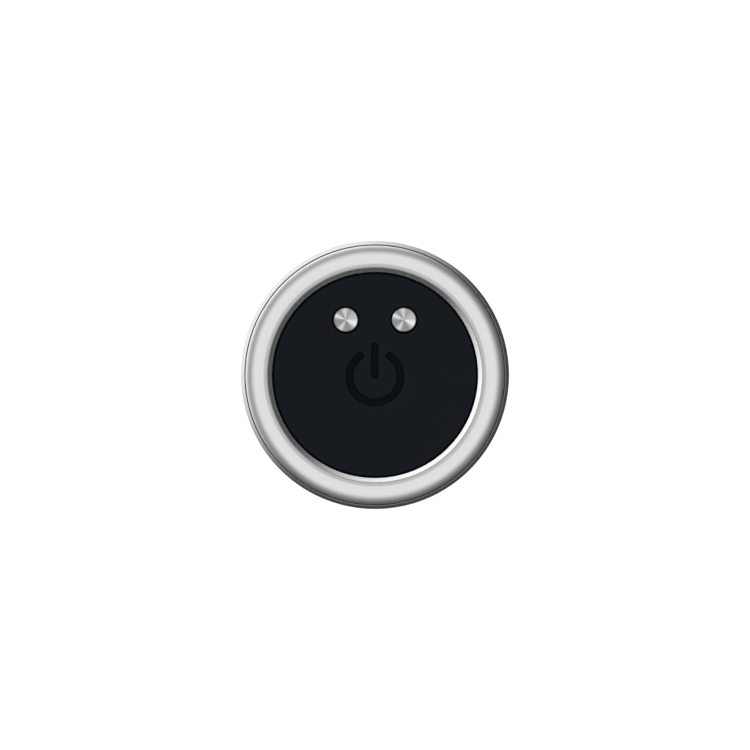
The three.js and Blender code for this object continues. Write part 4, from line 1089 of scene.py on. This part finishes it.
def make_bulkhead():
    sheets = [turned_sheet(bulkhead_profile(), closes=True)]
    for angle in LUG_ANGLES:
        sheets.append(lug_sheet(BODY - 5, BODY - 1.1, angle, 12, LUG_LOW, LUG_LOW + LUG_HEIGHT))
    return mesh_piece("bulkhead_moulded", *gather(sheets), "bulkhead")


GRIPS = 60
GRIP_DEPTH = 0.35
COLLAR_WALL = 2.2


def make_collar():
    """The collar's outside carries fine grip flutes: its radius dips by a rounded comb round the axis."""
    bottom, top, shoulder = low("skirt_collar"), high("skirt_collar"), high("skirt_tube") + SEAT_GAP
    bore, spigot = BODY - COLLAR_WALL, SKIRT_INNER - PRESS_GAP
    groove_low, groove_high = LUG_LOW - LUG_PLAY, LUG_LOW + LUG_HEIGHT + LUG_PLAY
    profile = rounded([
        (bore, bottom, 0.3), (spigot, bottom, 0.4), (spigot, shoulder, 0), (BODY, shoulder, 0.3),
        (BODY, shoulder + 2, 0),
        (BODY, shoulder + 2.6, 0.2), (BODY, top - 2.6, 0.2), (BODY, top - 2, 0), (BODY, top, 0.35),
        (bore, top, 0.3),
        (bore, groove_high, 0.1), (BODY - 0.8, groove_high, 0.1), (BODY - 0.8, groove_low, 0.1),
        (bore, groove_low, 0.1),
    ], steps=3)
    turns = GRIPS * 10
    points = turned_points(profile, turns)
    angles = full_turn(turns)
    comb = GRIP_DEPTH * np.clip(np.cos(GRIPS * angles) * 1.4 - 0.4, 0, 1)
    height = points[..., 2]
    band = np.clip((height - shoulder - 2) / 0.6, 0, 1) * np.clip((top - 2 - height) / 0.6, 0, 1)
    outside = np.hypot(points[..., 0], points[..., 1]) > BODY - 0.05
    factor = 1 - np.where(outside, band * comb, 0) / BODY
    points[..., :2] *= factor[..., None]
    return mesh_piece("skirt_collar_fluted", points.reshape(-1, 3),
                      grid_faces(len(profile), turns, wrap_rows=True),
                      "skirt_collar")


bulkhead = dress_as("bulkhead", make_bulkhead(), sharp_degrees=40)
collar = dress_as("skirt_collar", make_collar(), sharp_degrees=35)
print("bulkhead, collar:", len(bulkhead.data.polygons), len(collar.data.polygons), "faces")


# %% [markdown]
# ## The wet end: shaft, heater and sensors
# The heater is one steel tube: down a leg, two and a half turns outwards, and up the other leg. A smooth
# curve through a few points gives its middle line, and a circle is carried along it. The circle's frame
# is passed on from step to step with the least possible turn, so the tube never twists.

# %% Carry a circle along a curve
def smooth_path(points, per_stretch=10):
    """A Catmull-Rom curve: each stretch is a cubic whose end slopes come from the points on either side."""
    p = np.asarray(points, float)
    p = np.vstack([2 * p[0] - p[1], p, 2 * p[-1] - p[-2]])
    t = np.linspace(0, 1, per_stretch, endpoint=False)[:, None]
    stretches = []
    for a, b, c, d in zip(p, p[1:], p[2:], p[3:]):
        stretches.append(0.5 * (2 * b + (c - a) * t + (2 * a - 5 * b + 4 * c - d) * t ** 2
                                + (3 * b - a - 3 * c + d) * t ** 3))
    return np.vstack([*stretches, p[-2:-1]])


def swept(name, path, radius, node, sides=24):
    """A round bar along a path, with its two ends closed and chamfered."""
    path = np.asarray(path, float)
    tangents = np.gradient(path, axis=0)
    tangents /= np.linalg.norm(tangents, axis=1)[:, None]
    across = np.cross(tangents[0], (0.31, 0.87, 0.38))
    angles = full_turn(sides)
    rings = []
    for point, tangent in zip(path, tangents):
        across = across - tangent * across.dot(tangent)
        across /= np.linalg.norm(across)
        other = np.cross(tangent, across)
        rings.append(point + radius * (np.cos(angles)[:, None] * across + np.sin(angles)[:, None] * other))
    bevel_share = 0.2
    bevel = radius * bevel_share
    first = path[0] + (rings[0] - path[0]) * (1 - bevel_share)
    last = path[-1] + (rings[-1] - path[-1]) * (1 - bevel_share)
    rings[0] = rings[0] + tangents[0] * bevel
    rings[-1] = rings[-1] - tangents[-1] * bevel
    rings = [first, *rings, last]
    faces = grid_faces(len(rings), sides).tolist()
    faces.append(list(range(sides)))
    faces.append(list(range((len(rings) - 1) * sides, len(rings) * sides)))
    return mesh_piece(name, np.vstack(rings), faces, node)


# %% Bend the heater
HEATER = {"tube": 2.0, "leg": 10.4, "coil": 15.0, "turns": 2.5, "drop": 23.0, "below_plate": 26,
          "above_plate": 10.15}


def heater_path():
    leg, coil, turns, drop = HEATER["leg"], HEATER["coil"], HEATER["turns"], HEATER["drop"]
    top = high("heater_coil")
    plate = top - HEATER["above_plate"]
    coil_top = plate - HEATER["below_plate"]

    def spot(radius, degrees, height):
        return (radius * math.cos(math.radians(degrees)), radius * math.sin(math.radians(degrees)), height)

    points = [spot(leg, 0, top), spot(leg, 0, plate), spot(leg, 0, coil_top + 12),
              spot(leg + 1, 0, coil_top + 6)]
    steps = int(12 * turns)
    for i in range(steps + 1):
        reach = min(1, (i + 2) / 4)
        points.append(spot(leg + (coil - leg) * reach, 20 + i * (turns * 360 - 60) / steps,
                           coil_top - drop * i / steps))
    last = turns * 360
    points += [spot(leg + 1.4, last - 12, coil_top - drop - 1.5), spot(leg, last, coil_top - drop + 4),
               spot(leg, last, coil_top), spot(leg, last, plate), spot(leg, last, top)]
    return smooth_path(points)


heater = dress_as("heater_coil", swept("heater_tube_bent", heater_path(), HEATER["tube"], "heater_coil"))
print("heater:", len(heater.data.polygons), "faces")


# %% Turn the rods and rings round the axis
def middle_of(node):
    return ((low(node, 0) + high(node, 0)) / 2, (low(node, 1) + high(node, 1)) / 2, 0)


RODS = {"drive_shaft": 2.0, "temperature_probe": 1.5, "low_level_pin": 1.0, "high_level_pin": 1.0}
TIP_SHARE = 0.45
SHAFT_BORE = 3.5
rods = []
for node, radius in RODS.items():
    section = disc_profile(node, radius, TIP_SHARE * radius)
    rods.append(dress_as(node, turned(f"{node}_ground", section, node, 48, middle_of(node))))
shaft_section = tube_profile("shaft_tube", SHAFT_BORE, 0.2)
dress_as("shaft_tube", turned("shaft_tube_drawn", shaft_section, "shaft_tube", 72))
print("rods:", len(rods), "and the shaft's tube")


# %% [markdown]
# ## The clip
# The arm is one outline in the plane of Y and Z, pushed out along X with its rim rounded. Five ridges
# across the thumb tab and shallow ribs on the rubber pad give the fingers and the pot something to hold.

# %% Push an outline out along X
def slab_sheets(outline, half, rim=0.5):
    """Two filled faces and a rounded rim. The outline is moved in along its normals as it nears a face."""
    outline = np.asarray(outline, float)
    edges = np.roll(outline, -1, axis=0) - outline
    normals = np.column_stack([edges[:, 1], -edges[:, 0]])
    normals /= np.linalg.norm(normals, axis=1)[:, None] + 1e-12
    corner = normals + np.roll(normals, 1, axis=0)
    corner /= (np.linalg.norm(corner, axis=1)[:, None] ** 2 / 2 + 1e-12)
    area = 0.5 * np.sum(outline[:, 0] * np.roll(outline[:, 1], -1) - np.roll(outline[:, 0],
        -1) * outline[:, 1])
    corner *= math.copysign(1, area)
    levels = quarter_round(rim, half, 5)
    levels += [(inset, -x) for inset, x in levels[::-1]]
    rings = [np.column_stack([np.full(len(outline), x), outline - corner * inset]) for inset, x in levels]
    sheets = [(np.vstack(rings), grid_faces(len(rings), len(outline)))]
    for ring_points in (rings[0], rings[-1]):
        flat, triangles = fill(ring_points[:, 1:], [], 0)
        sheets.append((np.column_stack([np.full(len(flat), ring_points[0, 0]), flat[:, :2]]), triangles))
    return sheets


# %% Shape the arm
PIN = (0, (low("clip_pin", 1) + high("clip_pin", 1)) / 2, (low("clip_pin") + high("clip_pin")) / 2)
ARM_HALF = high("clip_arm", 0)
ARM_INNER, ARM_OUTER = 1.9, 3.5
SPRING_ROOM = 1.7
BARREL = 2.4
JAW = 54
TAB_LEAN = 0.9
BARREL_BORE = 1.08


def arm_outline(ridges=5, pitch=1.5, height=0.4):
    """The jaw below the pin, the back, and a canted tab whose outer face is a row of rounded ridges."""
    tab = 12.0
    back = [(ARM_OUTER, 1.5)]
    for i in range(ridges):
        base_z = 3.4 + i * pitch
        lean = TAB_LEAN * ((base_z - 1) / (tab - 1)) ** 1.6
        back += [(ARM_OUTER + lean - 0.05 * height, base_z - 0.3 * pitch, 0.15),
                 (ARM_OUTER + lean - height, base_z, 0.25),
                 (ARM_OUTER + lean - 0.05 * height, base_z + 0.3 * pitch, 0.15)]
    back += [(ARM_OUTER + TAB_LEAN, tab, 0.5), (ARM_INNER + 1, tab, 0.4), (ARM_INNER + 0.35, tab / 2, 2),
             (ARM_INNER, 1, 1.5)]
    jaw = [(ARM_INNER, -JAW, 0.5), (ARM_OUTER - 0.5, -JAW - 0.5, 0.4), (ARM_OUTER, 1 - JAW, 0.6)]
    return rounded(jaw + back, steps=4)


def make_arm():
    sheets = slab_sheets(arm_outline(), ARM_HALF)
    angles = np.radians(np.arange(0, 360, 6))
    for start, end in ((-ARM_HALF, -SPRING_ROOM), (SPRING_ROOM, ARM_HALF)):
        section = rounded([(BARREL_BORE, start, 0.1), (BARREL, start, 0.25), (BARREL, end, 0.25),
                           (BARREL_BORE, end, 0.1)], steps=3)
        rows = np.stack([np.column_stack([section[:, 1], section[:, 0] * math.cos(a),
                                          section[:, 0] * math.sin(a)])
                         for a in angles])
        sheets.append((rows.reshape(-1, 3), grid_faces(len(angles), len(section), wrap_rows=True)))
    return mesh_piece("clip_arm_moulded", *gather(sheets, PIN), "clip_arm")


arm = dress_as("clip_arm", make_arm(), sharp_degrees=50)


# %% Shape the pad, with its ribs
PAD_RIM = 0.04
RIBS = 8
RIB_DEPTH = 0.3


def make_pad():
    """Ribs along X: the face towards the pot is a row of half-round ridges."""
    bottom, top = low("clip_pad") - PIN[2], high("clip_pad") - PIN[2]
    inner, outer = low("clip_pad", 1) - PIN[1], high("clip_pad", 1) - PIN[1]
    pitch = (top - bottom - 1) / RIBS
    face = []
    for i in range(RIBS):
        z = top - 0.5 - (i + 0.5) * pitch
        face += [(inner, z + 0.28 * pitch, 0.1), (inner, z - 0.28 * pitch, 0.1),
                 (inner + RIB_DEPTH, z - 0.42 * pitch, 0.05),
                 (inner + RIB_DEPTH, z - 0.58 * pitch, 0.05)]
    outline = rounded([(outer, bottom, 0), (outer, top, 0), (inner, top, 0.2), *face[:-2],
                       (inner, bottom, 0.2)], steps=2)
    sheets = slab_sheets(outline, high("clip_pad", 0), PAD_RIM)
    return mesh_piece("clip_pad_ribbed", *gather(sheets, PIN), "clip_pad")


grip = dress_as("clip_pad", make_pad(), sharp_degrees=50)
print("arm and pad:", len(arm.data.polygons), len(grip.data.polygons), "faces")


# %% Turn the pin
def make_pin():
    half = high("clip_pin", 0)
    section = rounded([(0, -half, 0), (1, -half, 0.2), (1, half, 0.2), (0, half, 0)], closed=False)
    points = turned_points(section, 48)
    lengthwise = np.stack([points[..., 2], points[..., 0], points[..., 1]], -1)
    return mesh_piece("clip_pin_ground", lengthwise.reshape(-1, 3) + np.array(PIN),
                      grid_faces(len(section), 48),
                      "clip_pin")


pin = dress_as("clip_pin", make_pin(), sharp_degrees=40)
print("pin:", len(pin.data.polygons), "faces")
